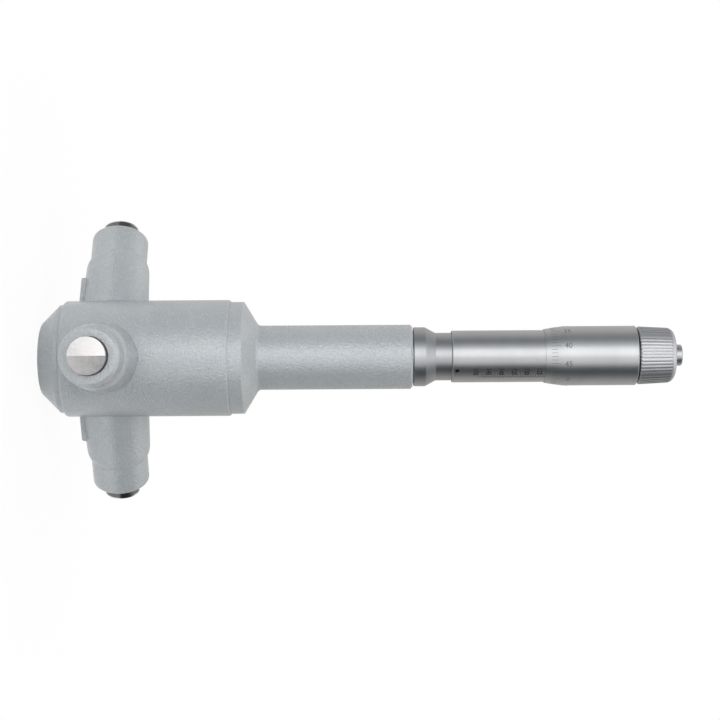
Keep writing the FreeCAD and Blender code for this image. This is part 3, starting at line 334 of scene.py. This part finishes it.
def radiusBelow(tree, where, place, limit):
    # one where a point lies nearer to the tool axis than the limit
    flat = addNode(tree, "ShaderNodeVectorMath", place, operation="MULTIPLY")
    flat.inputs[1].default_value = (1, 1, 0)
    link(tree, where, "Object", flat, 0)
    reach = addNode(tree, "ShaderNodeVectorMath", (place[0] + 200, place[1]), operation="LENGTH")
    link(tree, flat, 0, reach, 0)
    return mathNode(tree, "LESS_THAN", (place[0] + 400, place[1]), reach.outputs["Value"], limit)


hammerPaintLook = {
    "dark": (0.42, 0.443, 0.457),
    "pale": (0.535, 0.562, 0.577),
    "fleck": (0.65, 0.67, 0.68),
    "metal": 0.2,
    "shinyRough": 0.11,
    "dullRough": 0.2,
    "cellScale": 1250,
    "cellSmooth": 0.6,
    "bendScale": 380,       # noise that bends the cells of the paint
    "bendReach": 0.0018,
    "peelScale": 1700,
    "cloudScale": 90,
    "fleckScale": 2600,
    "cellHeight": 0.00014,
    "peelHeight": 0.00009,
}


def hammerPaint(look):
    material, tree, shader, where = newFinish("hammerPaint", 0.4, look["metal"])
    cells = addNode(tree, "ShaderNodeTexVoronoi", (-1200, -300), feature="SMOOTH_F1")
    cells.inputs["Scale"].default_value = look["cellScale"]
    cells.inputs["Smoothness"].default_value = look["cellSmooth"]
    bend = noiseOn(tree, where, (-1400, -560), look["bendScale"], 2)
    shifted = addNode(tree, "ShaderNodeVectorMath", (-1380, -300), operation="MULTIPLY_ADD")
    link(tree, bend, "Color", shifted, 0)
    shifted.inputs[1].default_value = (look["bendReach"],) * 3
    link(tree, where, "Object", shifted, 2)
    link(tree, shifted, 0, cells, "Vector")
    peel = noiseOn(tree, where, (-1000, -560), look["peelScale"], 3, rough=0.65)
    cloud = noiseOn(tree, where, (-1000, 240), look["cloudScale"], 3)
    speck = noiseOn(tree, where, (-1000, 0), look["fleckScale"], 2)
    tone = rampOn(tree, peel, 0, (-700, 300), 0.25, 0.75, look["dark"], look["pale"])
    fleck = rampOn(tree, speck, 0, (-700, 40), 0.56, 0.72, (0, 0, 0), (1, 1, 1))
    colour = addNode(tree, "ShaderNodeMix", (-380, 240), data_type="RGBA")
    link(tree, fleck, 0, colour, 0)
    link(tree, tone, 0, colour, 6)
    colour.inputs[7].default_value = (*look["fleck"], 1)
    shade = rampOn(tree, cloud, 0, (-700, 560), 0.3, 0.7, (0.93, 0.94, 0.95), (1, 1, 1))
    final = addNode(tree, "ShaderNodeMix", (-180, 300), data_type="RGBA", blend_type="MULTIPLY")
    final.inputs[0].default_value = 1
    link(tree, colour, 2, final, 6)
    link(tree, shade, 0, final, 7)
    link(tree, final, 2, shader, "Base Color")
    rough = rangeOn(tree, peel, 0, (-380, -60), look["shinyRough"], look["dullRough"])
    link(tree, rough, 0, shader, "Roughness")
    dents = bumpOn(tree, cells, "Distance", (-600, -300), 1.0, look["cellHeight"])
    skin = bumpOn(tree, peel, 0, (-380, -420), 1.0, look["peelHeight"], dents)
    link(tree, skin, 0, shader, "Normal")
    return material


ringDepth = 0.000003      # of the marks that the lathe and the grinding wheel leave


def turnedMetal(name, dark, pale, rough, swirl, spread=0.3, inside=0.0):
    # fine rings round the tool axis from the lathe, with a little uneven sheen
    material, tree, shader, where = newFinish(
        name, rough, 1.0, Anisotropic=spread, Anisotropic_Rotation=0.25)
    rings = noiseOn(tree, where, (-1000, -260), 1.0, 4, stretch=(26, 26, swirl), rough=0.7)
    coarse = noiseOn(tree, where, (-1000, 0), 1.0, 2, stretch=(14, 14, swirl / 4))
    cloud = noiseOn(tree, where, (-1000, 260), 130, 3)
    tone = rampOn(tree, cloud, 0, (-700, 260), 0.3, 0.7, dark, pale)
    streak = rampOn(tree, coarse, 0, (-700, 20), 0.3, 0.7, (0.96, 0.96, 0.963), (1, 1, 1))
    colour = addNode(tree, "ShaderNodeMix", (-380, 200), data_type="RGBA", blend_type="MULTIPLY")
    colour.inputs[0].default_value = 1
    link(tree, tone, 0, colour, 6)
    link(tree, streak, 0, colour, 7)
    last = colour
    if inside:
        # holes and bores below this radius are painted dark grey, a painted shade
        paintedShadeMask = radiusBelow(tree, where, (-1000, 560), inside)
        last = addNode(tree, "ShaderNodeMix", (-180, 300), data_type="RGBA")
        tree.links.new(paintedShadeMask, last.inputs[0])
        link(tree, colour, 2, last, 6)
        last.inputs[7].default_value = (0.09, 0.09, 0.1, 1)
    link(tree, last, 2, shader, "Base Color")
    sheen = rangeOn(tree, rings, 0, (-380, -40), rough - 0.04, rough + 0.05)
    link(tree, sheen, 0, shader, "Roughness")
    grooves = bumpOn(tree, rings, 0, (-380, -300), 0.35, ringDepth)
    link(tree, grooves, 0, shader, "Normal")
    return material


def softenFlutes(material, share):
    # the polished lands between the flutes carry most of the shine, so the normal leans to the round form
    tree = material.node_tree
    groove = [n for n in tree.nodes if n.bl_idname == "ShaderNodeBump"][0]
    where = [n for n in tree.nodes if n.bl_idname == "ShaderNodeTexCoord"][0]
    facing = addNode(tree, "ShaderNodeNewGeometry", (-1600, -700))
    local = addNode(tree, "ShaderNodeVectorTransform", (-1400, -700), vector_type="NORMAL",
                    convert_from="WORLD", convert_to="OBJECT")
    link(tree, facing, "Normal", local, 0)
    outward = addNode(tree, "ShaderNodeVectorMath", (-1400, -900), operation="MULTIPLY")
    outward.inputs[1].default_value = (1, 1, 0)
    link(tree, where, "Object", outward, 0)
    unit = addNode(tree, "ShaderNodeVectorMath", (-1200, -900), operation="NORMALIZE")
    link(tree, outward, 0, unit, 0)
    parts = addNode(tree, "ShaderNodeSeparateXYZ", (-1200, -700))
    link(tree, local, 0, parts, 0)
    endFacing = mathNode(tree, "ABSOLUTE", (-1020, -700), parts.outputs[2])
    upright = mathNode(tree, "LESS_THAN", (-860, -700), endFacing, 0.3)
    amount = mathNode(tree, "MULTIPLY", (-700, -700), upright, share)
    blend = addNode(tree, "ShaderNodeMix", (-540, -800), data_type="VECTOR")
    tree.links.new(amount, blend.inputs[0])
    link(tree, local, 0, blend, 4)
    link(tree, unit, 0, blend, 5)
    back = addNode(tree, "ShaderNodeVectorTransform", (-380, -800), vector_type="NORMAL",
                   convert_from="OBJECT", convert_to="WORLD")
    link(tree, blend, 1, back, 0)
    link(tree, back, 0, groove, "Normal")
    return material


groundLook = {
    "dark": (0.62, 0.6, 0.59),
    "pale": (0.72, 0.7, 0.69),
    # the pins' turned sides: a painted shade
    "side": (0.17, 0.165, 0.16),
    "rough": 0.22,
    "faceHeight": 0.0616,    # along the arm, where the ground faces begin
    "faceLean": 0.22,        # how much steeper the two ground faces shine than the solid's
    "faceTilt": -0.075,      # by how much both faces shine as if turned to one side
}


def groundMetal(name, look):
    # short grinding strokes along the tool axis on the two faces; the turned sides are painted dark, a
    # painted shade
    material, tree, shader, where = newFinish(name, look["rough"], 1.0)
    strokes = noiseOn(tree, where, (-1000, -260), 1.0, 4, stretch=(5200, 5200, 420), rough=0.7)
    cloud = noiseOn(tree, where, (-1000, 200), 320, 4)
    tone = rampOn(tree, cloud, 0, (-700, 240), 0.3, 0.7, look["dark"], look["pale"])
    streak = rampOn(tree, strokes, 0, (-700, 0), 0.3, 0.7, (0.88, 0.88, 0.88), (1, 1, 1))
    colour = addNode(tree, "ShaderNodeMix", (-380, 200), data_type="RGBA", blend_type="MULTIPLY")
    colour.inputs[0].default_value = 1
    link(tree, tone, 0, colour, 6)
    link(tree, streak, 0, colour, 7)
    parts = addNode(tree, "ShaderNodeSeparateXYZ", (-1400, 700))
    link(tree, where, "Object", parts, 0)
    away = mathNode(tree, "MULTIPLY", (-1200, 640), parts.outputs[1], -1)
    turn = mathNode(tree, "ARCTAN2", (-1040, 700), parts.outputs[0], away)
    local = addNode(tree, "ShaderNodeMath", (-880, 700), operation="WRAP")
    tree.links.new(turn, local.inputs[0])
    local.inputs[1].default_value = math.pi / 3
    local.inputs[2].default_value = -math.pi / 3
    acrossSquare = mathNode(tree, "MULTIPLY", (-1040, 880), parts.outputs[0], parts.outputs[0])
    awaySquare = mathNode(tree, "MULTIPLY", (-1040, 1020), parts.outputs[1], parts.outputs[1])
    reach = mathNode(tree, "SQRT", (-720, 940), mathNode(tree, "ADD", (-880, 940), acrossSquare, awaySquare))
    cosine = mathNode(tree, "COSINE", (-560, 820), local.outputs[0])
    sine = mathNode(tree, "SINE", (-560, 700), local.outputs[0])
    along = mathNode(tree, "MULTIPLY", (-400, 880), reach, cosine)
    offset = mathNode(tree, "MULTIPLY", (-400, 720), reach, sine)
    isFace = mathNode(tree, "GREATER_THAN", (-240, 880), along, look["faceHeight"])
    # below the ground faces the sides take the painted shade colour
    final = addNode(tree, "ShaderNodeMix", (-180, 300), data_type="RGBA")
    tree.links.new(isFace, final.inputs[0])
    final.inputs[6].default_value = (*look["side"], 1)
    link(tree, colour, 2, final, 7)
    link(tree, final, 2, shader, "Base Color")
    sheen = rangeOn(tree, cloud, 0, (-380, -40), look["rough"] - 0.05, look["rough"] + 0.06)
    link(tree, sheen, 0, shader, "Roughness")
    fromRidge = mathNode(tree, "ABSOLUTE", (-240, 720), offset)
    fall = mathNode(tree, "MULTIPLY", (-100, 720), fromRidge, -look["faceLean"])
    tilt = mathNode(tree, "MULTIPLY", (-100, 1080), offset, look["faceTilt"])
    lift = mathNode(tree, "ADD", (-20, 940), fall, tilt)
    roof = addNode(tree, "ShaderNodeBump", (60, 600))
    roof.inputs["Distance"].default_value = 1
    tree.links.new(mathNode(tree, "MULTIPLY", (-20, 820), lift, isFace), roof.inputs["Height"])
    grooves = bumpOn(tree, strokes, 0, (-380, -300), 0.3, ringDepth, roof)
    link(tree, grooves, 0, shader, "Normal")
    return material


def darkMetal(name, dark, pale, rough):
    # oiled black skin with thin places
    material, tree, shader, where = newFinish(name, rough, 0.85)
    worn = noiseOn(tree, where, (-1000, 100), 420, 5, rough=0.65)
    tone = rampOn(tree, worn, 0, (-700, 200), 0.35, 0.75, dark, pale)
    link(tree, tone, 0, shader, "Base Color")
    sheen = rangeOn(tree, worn, 0, (-380, -40), rough + 0.1, rough - 0.05)
    link(tree, sheen, 0, shader, "Roughness")
    skin = bumpOn(tree, worn, 0, (-380, -300), 0.3, 0.00001)
    link(tree, skin, 0, shader, "Normal")
    return material


def scaleInk(name, dark, pale):
    material, tree, shader, where = newFinish(name, 0.55, 0.0)
    thin = noiseOn(tree, where, (-1000, 100), 1900, 3)
    tone = rampOn(tree, thin, 0, (-700, 200), 0.3, 0.75, dark, pale)
    link(tree, tone, 0, shader, "Base Color")
    sheen = rangeOn(tree, thin, 0, (-380, -40), 0.45, 0.65)
    link(tree, sheen, 0, shader, "Roughness")
    skin = bumpOn(tree, thin, 0, (-380, -300), 0.3, 0.000004)
    link(tree, skin, 0, shader, "Normal")
    return material


finishes = {
    "paint": hammerPaint(hammerPaintLook),
    "steel": turnedMetal("turnedSteel", (0.39, 0.397, 0.405), (0.44, 0.447, 0.455), 0.36, 9000),
    "chrome": turnedMetal("satinChrome", (0.47, 0.475, 0.48), (0.51, 0.515, 0.52), 0.33, 12000),
    # the sleeve's bores and holes get a painted shade
    "sleeve": turnedMetal(
        "sleeveChrome", (0.45, 0.455, 0.46), (0.49, 0.495, 0.5), 0.33, 12000, inside=0.01015),
    "knob": softenFlutes(turnedMetal(
        "knobChrome", (0.5, 0.505, 0.52), (0.56, 0.565, 0.58), 0.4, 9000, spread=0.0), 0.7),
    "ground": groundMetal("groundSteel", groundLook),
    "bronze": turnedMetal("bearingBronze", (0.5, 0.34, 0.17), (0.62, 0.43, 0.23), 0.35, 7000),
    "dark": darkMetal("blackenedSteel", (0.03, 0.03, 0.032), (0.16, 0.16, 0.165), 0.4),
    "ink": scaleInk("scaleInk", (0.012, 0.012, 0.013), (0.05, 0.05, 0.052)),
    "paleInk": scaleInk("thimbleInk", (0.08, 0.08, 0.085), (0.16, 0.16, 0.165)),
}
slotFinish = {
    "hammer_paint": "paint",
    "satin_steel": "steel",
    "satin_chrome": "chrome",
    "ground_steel": "ground",
    "bronze": "bronze",
    "dark_steel": "dark",
}
pieceFinish = {"ratchet_knob": "knob", "graduated_sleeve": "sleeve"}     # where it differs from the slot's
for row in frame["record"]["subparts"]:
    node = cadNodes[row["node"]]
    finish = pieceFinish.get(row["node"], slotFinish[row["material_slot"]])
    node.data.materials.clear()
    node.data.materials.append(finishes[finish])


def newTree(name, inputs):
    tree = bpy.data.node_groups.new(name, "GeometryNodeTree")
    tree.interface.new_socket("Geometry", in_out="OUTPUT", socket_type="NodeSocketGeometry")
    sockets = {}
    for label, kind, value in inputs:
        socket = tree.interface.new_socket(label, in_out="INPUT", socket_type=kind)
        if value is not None:
            socket.default_value = value
        sockets[label] = socket.identifier
    start = addNode(tree, "NodeGroupInput", (-1400, 0))
    end = addNode(tree, "NodeGroupOutput", (1200, 0))
    return tree, sockets, start, end


# Arm caps: the lathe-turned shells with their narrow edge round and the countersink round the anvil
capLow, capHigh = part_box("arm_cap_1")
capShell = {
    "count": 3,
    "height": (capLow.z + capHigh.z) / 2 / mm,
    "seam": 45.0,
    "face": 57.5,
    "radius": 11.4,
    "edgeRound": 1.9,
    "roundSteps": 7,
    "bore": 7.06,
    "sink": 0.3,
    "floor": 53.0,
    "chamber": 9.6,
    "skirt": 50.2,
    "thread": 10.62,
    "turns": 96,
    "sharpAngle": 28,
}


def buildCapTree(s):
    # copies the shell of one arm round the tool axis
    tree, sockets, start, end = newTree("armCaps", [
        ("Shell", "NodeSocketGeometry", None),
        ("Count", "NodeSocketInt", s["count"]),
        ("Finish", "NodeSocketMaterial", None),
    ])
    given = start.outputs
    points = addNode(tree, "GeometryNodePoints", (-600, 100))
    tree.links.new(given["Count"], points.inputs["Count"])
    index = addNode(tree, "GeometryNodeInputIndex", (-1000, -200)).outputs[0]
    step = mathNode(tree, "DIVIDE", (-1000, -340), 2 * math.pi, given["Count"])
    turn = addNode(tree, "ShaderNodeCombineXYZ", (-600, -200))
    tree.links.new(mathNode(tree, "MULTIPLY", (-800, -200), index, step), turn.inputs[2])
    facing = addNode(tree, "FunctionNodeEulerToRotation", (-400, -200))
    link(tree, turn, 0, facing, 0)
    placed = addNode(tree, "GeometryNodeInstanceOnPoints", (-200, 100))
    link(tree, points, 0, placed, "Points")
    tree.links.new(given["Shell"], placed.inputs["Instance"])
    link(tree, facing, 0, placed, "Rotation")
    real = addNode(tree, "GeometryNodeRealizeInstances", (100, 100))
    link(tree, placed, 0, real, 0)
    painted = addNode(tree, "GeometryNodeSetMaterial", (400, 100))
    link(tree, real, 0, painted, "Geometry")
    tree.links.new(given["Finish"], painted.inputs["Material"])
    link(tree, painted, 0, end, 0)
    return tree, sockets


def buildCaps(s):
    outline = [
        (s["bore"], s["face"] - s["sink"]), (s["bore"], s["floor"]), (s["chamber"], s["floor"]),
        (s["chamber"], s["skirt"]), (s["thread"], s["skirt"]), (s["thread"], s["seam"]),
        (s["radius"], s["seam"]),
    ]
    for step in range(s["roundSteps"] + 1):
        angle = math.pi / 2 * step / s["roundSteps"]
        outline.append((s["radius"] - s["edgeRound"] * (1 - math.cos(angle)),
                        s["face"] - s["edgeRound"] * (1 - math.sin(angle))))
    outline.append((s["bore"] + s["sink"], s["face"]))
    shell = bmesh.new()
    rings = []
    for k in range(s["turns"]):
        angle = 2 * math.pi * k / s["turns"]
        ring = []
        for r, reach in outline:
            rise = s["height"] + r * math.sin(angle)
            ring.append(shell.verts.new((r * math.cos(angle) * mm, -reach * mm, rise * mm)))
        rings.append(ring)
    for k in range(s["turns"]):
        here, after = rings[k], rings[(k + 1) % s["turns"]]
        for j in range(len(outline)):
            n = (j + 1) % len(outline)
            shell.faces.new((here[j], here[n], after[n], after[j]))
    bmesh.ops.recalc_face_normals(shell, faces=shell.faces)
    for face in shell.faces:
        face.smooth = True
    for edge in shell.edges:
        edge.smooth = edge.calc_face_angle() < math.radians(s["sharpAngle"])
    mesh = bpy.data.meshes.new("capShell")
    shell.to_mesh(mesh)
    shell.free()
    tree, sockets = buildCapTree(s)
    carrier = bpy.data.objects.new("capCarrier", mesh)
    bpy.context.scene.collection.objects.link(carrier)
    modifier = carrier.modifiers.new("caps", "NODES")
    modifier.node_group = tree
    modifier[sockets["Count"]] = s["count"]
    modifier[sockets["Finish"]] = finishes["paint"]
    evaluated = carrier.evaluated_get(bpy.context.evaluated_depsgraph_get())
    result = bpy.data.meshes.new_from_object(evaluated)
    carrier.modifiers.remove(modifier)
    bpy.data.objects.remove(carrier)
    caps = bpy.data.objects.new("armCapShells", result)
    bpy.context.scene.collection.objects.link(caps)
    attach(caps, "frame")
    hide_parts("arm_cap_1", "arm_cap_2", "arm_cap_3")
    return caps


buildCaps(capShell)
print("arm caps turned")


# Springs: merged copies of the coils in blackened steel, each carried by its body
def springLook(joint, body, axis, anchor, keep):
    return {"joint": joint, "body": body, "axis": axis, "anchor": anchor, "keep": keep}


springSettings = {
    "rod_spring": springLook("spindle_advance", "frame", (0, 0, 1), 96.05, 0.3),
    "click_spring": springLook("click_retract", "thimble_set", (0, -1, 0), 1.8, 0.79),
}
for arm in (1, 2, 3):
    armAngle = math.radians(120 * (arm - 1))
    outward = (math.sin(armAngle), -math.cos(armAngle), 0)
    springSettings[f"pin_spring_{arm}"] = springLook(f"pin_{arm}_out", "frame", outward, 53.0, 0.31)


def buildSprings(settings):
    for name, s in settings.items():
        node = cadNodes[name]
        wire = bmesh.new()
        wire.from_mesh(node.data)
        wire.transform(node.matrix_world)
        bmesh.ops.remove_doubles(wire, verts=wire.verts, dist=1e-7)
        mesh = bpy.data.meshes.new(name + "Wire")
        wire.to_mesh(mesh)
        wire.free()
        mesh.materials.append(finishes["dark"])
        coil = bpy.data.objects.new(name + "Coil", mesh)
        bpy.context.scene.collection.objects.link(coil)
        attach(coil, s["body"])
        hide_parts(name)
        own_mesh(coil)


buildSprings(springSettings)
print("springs placed")


# Scales: fine marks laid on the sleeve and the thimble by Geometry Nodes
zeroAngle = 52.5          # degrees from the first arm towards +X, where the index line runs
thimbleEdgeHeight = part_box("thimble")[0].z / mm


def buildMarkTree():
    # Marks in a row of turns and a row of steps: each one is a thin bar that starts on a cone or tube
    tree, sockets, start, end = newTree("scaleMarks", [
        ("Count", "NodeSocketInt", 50),
        ("Long Every", "NodeSocketInt", 5),
        ("First Angle", "NodeSocketFloat", 0.0),
        ("Angle Step", "NodeSocketFloat", 0.1),
        ("First Height", "NodeSocketFloat", 0.2),
        ("Height Step", "NodeSocketFloat", 0.0),
        ("Radius", "NodeSocketFloat", 0.01),
        ("Lean", "NodeSocketFloat", 0.0),
        ("Turn", "NodeSocketFloat", 0.0),
        ("Short Length", "NodeSocketFloat", 0.002),
        ("Long Length", "NodeSocketFloat", 0.003),
        ("Width", "NodeSocketFloat", 0.0002),
        ("Thickness", "NodeSocketFloat", 0.00003),
        ("Ink", "NodeSocketMaterial", None),
    ])
    given = start.outputs
    index = addNode(tree, "GeometryNodeInputIndex", (-1200, -300)).outputs[0]
    turned = mathNode(tree, "MULTIPLY", (-1000, -100), index, given["Angle Step"])
    angle = mathNode(tree, "ADD", (-800, -100), turned, given["First Angle"])
    climbed = mathNode(tree, "MULTIPLY", (-1000, -260), index, given["Height Step"])
    height = mathNode(tree, "ADD", (-800, -260), climbed, given["First Height"])
    sine = mathNode(tree, "SINE", (-600, -60), angle)
    across = mathNode(tree, "MULTIPLY", (-400, -60), sine, given["Radius"])
    cosine = mathNode(tree, "COSINE", (-600, -200), angle)
    away = mathNode(tree, "MULTIPLY", (-500, -200), cosine, -1)
    towards = mathNode(tree, "MULTIPLY", (-400, -200), away, given["Radius"])
    spot = addNode(tree, "ShaderNodeCombineXYZ", (-200, -140))
    tree.links.new(across, spot.inputs[0])
    tree.links.new(towards, spot.inputs[1])
    tree.links.new(height, spot.inputs[2])
    points = addNode(tree, "GeometryNodePoints", (0, 100))
    tree.links.new(given["Count"], points.inputs["Count"])
    tree.links.new(spot.outputs[0], points.inputs["Position"])
    bar = addNode(tree, "GeometryNodeMeshCube", (-600, 500))
    barSize = addNode(tree, "ShaderNodeCombineXYZ", (-800, 500))
    tree.links.new(given["Width"], barSize.inputs[0])
    tree.links.new(given["Thickness"], barSize.inputs[1])
    barSize.inputs[2].default_value = 1
    tree.links.new(barSize.outputs[0], bar.inputs["Size"])
    bar.inputs["Vertices Z"].default_value = 9
    raised = addNode(tree, "GeometryNodeTransform", (-400, 500))
    raised.inputs["Translation"].default_value = (0, 0, 0.5)
    link(tree, bar, "Mesh", raised, "Geometry")
    beyondLong = mathNode(tree, "MODULO", (-600, 300), index, given["Long Every"])
    isLong = mathNode(tree, "COMPARE", (-400, 300), beyondLong, 0)
    reach = addNode(tree, "ShaderNodeMix", (-200, 300))
    tree.links.new(isLong, reach.inputs[0])
    tree.links.new(given["Short Length"], reach.inputs[2])
    tree.links.new(given["Long Length"], reach.inputs[3])
    scale = addNode(tree, "ShaderNodeCombineXYZ", (0, 300))
    scale.inputs[0].default_value = 1
    scale.inputs[1].default_value = 1
    tree.links.new(reach.outputs[0], scale.inputs[2])
    tilt = addNode(tree, "ShaderNodeCombineXYZ", (0, -300))
    tree.links.new(given["Lean"], tilt.inputs[0])
    tree.links.new(given["Turn"], tilt.inputs[1])
    tree.links.new(angle, tilt.inputs[2])
    facing = addNode(tree, "FunctionNodeEulerToRotation", (200, -300))
    link(tree, tilt, 0, facing, 0)
    placed = addNode(tree, "GeometryNodeInstanceOnPoints", (400, 100))
    link(tree, points, 0, placed, "Points")
    link(tree, raised, "Geometry", placed, "Instance")
    link(tree, facing, 0, placed, "Rotation")
    link(tree, scale, 0, placed, "Scale")
    real = addNode(tree, "GeometryNodeRealizeInstances", (600, 100))
    link(tree, placed, 0, real, 0)
    inked = addNode(tree, "GeometryNodeSetMaterial", (800, 100))
    link(tree, real, 0, inked, "Geometry")
    tree.links.new(given["Ink"], inked.inputs["Material"])
    link(tree, inked, 0, end, 0)
    return tree, sockets


markTree, markSockets = buildMarkTree()


def layMarks(values, ink):
    # runs the tree once and hands back its result as a plain mesh
    carrier = bpy.data.objects.new("markCarrier", bpy.data.meshes.new("markCarrier"))
    bpy.context.scene.collection.objects.link(carrier)
    modifier = carrier.modifiers.new("marks", "NODES")
    modifier.node_group = markTree
    for label, value in values.items():
        modifier[markSockets[label]] = value
    modifier[markSockets["Ink"]] = finishes[ink]
    evaluated = carrier.evaluated_get(bpy.context.evaluated_depsgraph_get())
    mesh = bpy.data.meshes.new_from_object(evaluated)
    carrier.modifiers.remove(modifier)
    bpy.data.objects.remove(carrier)
    return mesh


def bendMarks(mesh, angle, radius):
    # wraps marks that run across the sleeve round its curve
    for v in mesh.vertices:
        x, y, z = v.co
        reach = x * math.sin(angle) - y * math.cos(angle)
        turn = angle + (x * math.cos(angle) + y * math.sin(angle)) / radius
        v.co = (math.sin(turn) * reach, -math.cos(turn) * reach, z)


sizeForDigit = 1.37       # font size for a digit one unit high
inkHeight = 0.000012


def numberMesh(text, height, narrow, weight):
    # one number as a flat solid, centred on its own middle
    curve = bpy.data.curves.new("number", "FONT")
    curve.body = text
    curve.size = height * sizeForDigit
    curve.align_x = "CENTER"
    curve.extrude = inkHeight
    curve.resolution_u = 4
    curve.offset = height * weight
    carrier = bpy.data.objects.new("numberCarrier", curve)
    bpy.context.scene.collection.objects.link(carrier)
    evaluated = carrier.evaluated_get(bpy.context.evaluated_depsgraph_get())
    mesh = bpy.data.meshes.new_from_object(evaluated)
    bpy.data.objects.remove(carrier)
    solid = bmesh.new()
    solid.from_mesh(mesh)
    middle = (max(v.co.y for v in solid.verts) + min(v.co.y for v in solid.verts)) / 2
    bmesh.ops.translate(solid, verts=solid.verts, vec=(0, -middle, 0))
    bmesh.ops.scale(solid, verts=solid.verts, vec=(narrow, 1, 1))
    bmesh.ops.remove_doubles(solid, verts=solid.verts, dist=1e-7)
    return solid


def wrapNumber(solid, radius, angle, height, sideways):
    # lays the flat number round the tool axis, cut first so that it follows the curve
    span = 0.004
    steps = 24
    for axis in (0, 1):
        normal = (1, 0, 0) if axis == 0 else (0, 1, 0)
        for step in range(-steps, steps + 1):
            bmesh.ops.bisect_plane(
                solid, geom=solid.verts[:] + solid.edges[:] + solid.faces[:], dist=1e-9,
                plane_co=[n * span * step / steps for n in normal], plane_no=normal)
    for v in solid.verts:
        alongText, upText, out = v.co
        arc = alongText if sideways else -upText
        turn = angle + arc / radius
        reach = radius + out
        rise = upText if sideways else alongText
        v.co = (math.sin(turn) * reach, -math.cos(turn) * reach, height + rise)
    bmesh.ops.recalc_face_normals(solid, faces=solid.faces)
    return solid


def joinInk(name, meshes, solids, body, ink):
    # one ink piece for each body
    whole = bmesh.new()
    for mesh in meshes:
        whole.from_mesh(mesh)
    for solid in solids:
        part = bpy.data.meshes.new("part")
        solid.to_mesh(part)
        whole.from_mesh(part)
        solid.free()
    for face in whole.faces:
        face.material_index = 0
    mesh = bpy.data.meshes.new(name)
    whole.to_mesh(mesh)
    whole.free()
    mesh.materials.clear()
    mesh.materials.append(finishes[ink])
    piece = bpy.data.objects.new(name, mesh)
    bpy.context.scene.collection.objects.link(piece)
    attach(piece, body)
    return piece


thimbleScale = {
    "divisions": 50,
    "markStart": 2.2,
    "shortLength": 2.4,
    "longLength": 3.7,
    "markWidth": 0.13,
    "edgeRadius": 10.7,
    "bodyRadius": 11.78,
    "bevelLength": 7.4,
    "numberEvery": 5,
    "numberHeight": 2.3,
    "numberPlace": 8.7,
    "numberNarrow": 0.95,
    "numberWeight": -0.004,
}


def buildThimbleScale(s):
    lean = math.atan2(s["bodyRadius"] - s["edgeRadius"], s["bevelLength"])
    start = math.radians(zeroAngle)
    step = 2 * math.pi / s["divisions"]
    marks = layMarks({
        "Count": s["divisions"],
        "Long Every": s["numberEvery"],
        "First Angle": start,
        "Angle Step": step,
        "First Height": (thimbleEdgeHeight + s["markStart"]) * mm,
        "Radius": (s["edgeRadius"] + s["markStart"] * math.tan(lean)) * mm,
        "Lean": lean,
        "Short Length": s["shortLength"] * mm,
        "Long Length": s["longLength"] * mm,
        "Width": s["markWidth"] * mm,
    }, "paleInk")
    numbers = []
    for value in range(0, s["divisions"], s["numberEvery"]):
        numbers.append(wrapNumber(
            numberMesh(str(value), s["numberHeight"] * mm, s["numberNarrow"], s["numberWeight"]),
            s["bodyRadius"] * mm, start + value * step,
            (thimbleEdgeHeight + s["numberPlace"]) * mm, False))
    return joinInk("thimbleInk", [marks], numbers, "thimble_set", "paleInk")


sleeveScale = {
    "first": 125,
    "last": 150,
    "numberEvery": 5,
    "radius": 10.3,
    "lineWidth": 0.14,
    "linePast": 1.5,          # past the last mark
    "lineUnder": 2.0,         # under the thimble
    "wholeLength": 1.5,
    "fiveLength": 2.2,
    "halfLength": 0.8,
    "halfWidth": 0.126,
    "numberHeight": 2.1,
    "numberFromIndex": 2.75,
    "numberShift": 2.4,
    "numberNarrow": 0.8,
    "numberWeight": 0.05,
}


def buildSleeveScale(s):
    span = s["last"] - s["first"]
    index = math.radians(zeroAngle)
    low = thimbleEdgeHeight - span - s["linePast"]
    line = layMarks({
        "Count": 1,
        "First Angle": index,
        "First Height": low * mm,
        "Radius": s["radius"] * mm,
        "Long Length": (thimbleEdgeHeight + s["lineUnder"] - low) * mm,
        "Width": s["lineWidth"] * mm,
    }, "ink")
    # marks run round the sleeve, so each is turned a quarter from the thimble's
    wholes = layMarks({
        "Count": span + 1,
        "Long Every": s["numberEvery"],
        "First Angle": index,
        "Angle Step": 0.0,
        "First Height": thimbleEdgeHeight * mm,
        "Height Step": -1.0 * mm,
        "Radius": s["radius"] * mm,
        "Turn": -math.pi / 2,
        "Short Length": s["wholeLength"] * mm,
        "Long Length": s["fiveLength"] * mm,
        "Width": s["lineWidth"] * mm,
    }, "ink")
    halves = layMarks({
        "Count": span,
        "Long Every": 1,
        "First Angle": index,
        "Angle Step": 0.0,
        "First Height": (thimbleEdgeHeight - 0.5) * mm,
        "Height Step": -1.0 * mm,
        "Radius": s["radius"] * mm,
        "Turn": math.pi / 2,
        "Long Length": s["halfLength"] * mm,
        "Width": s["halfWidth"] * mm,
    }, "ink")
    for marks in (wholes, halves):
        bendMarks(marks, index, s["radius"] * mm)
    numbers = []
    for value in range(s["first"], s["last"] + 1, s["numberEvery"]):
        numbers.append(wrapNumber(
            numberMesh(str(value), s["numberHeight"] * mm, s["numberNarrow"], s["numberWeight"]),
            s["radius"] * mm, index - s["numberFromIndex"] / s["radius"],
            (thimbleEdgeHeight - (value - s["first"]) - s["numberShift"]) * mm, True))
    return joinInk("sleeveInk", [line, wholes, halves], numbers, "frame", "ink")


buildThimbleScale(thimbleScale)
buildSleeveScale(sleeveScale)
print("scales laid")
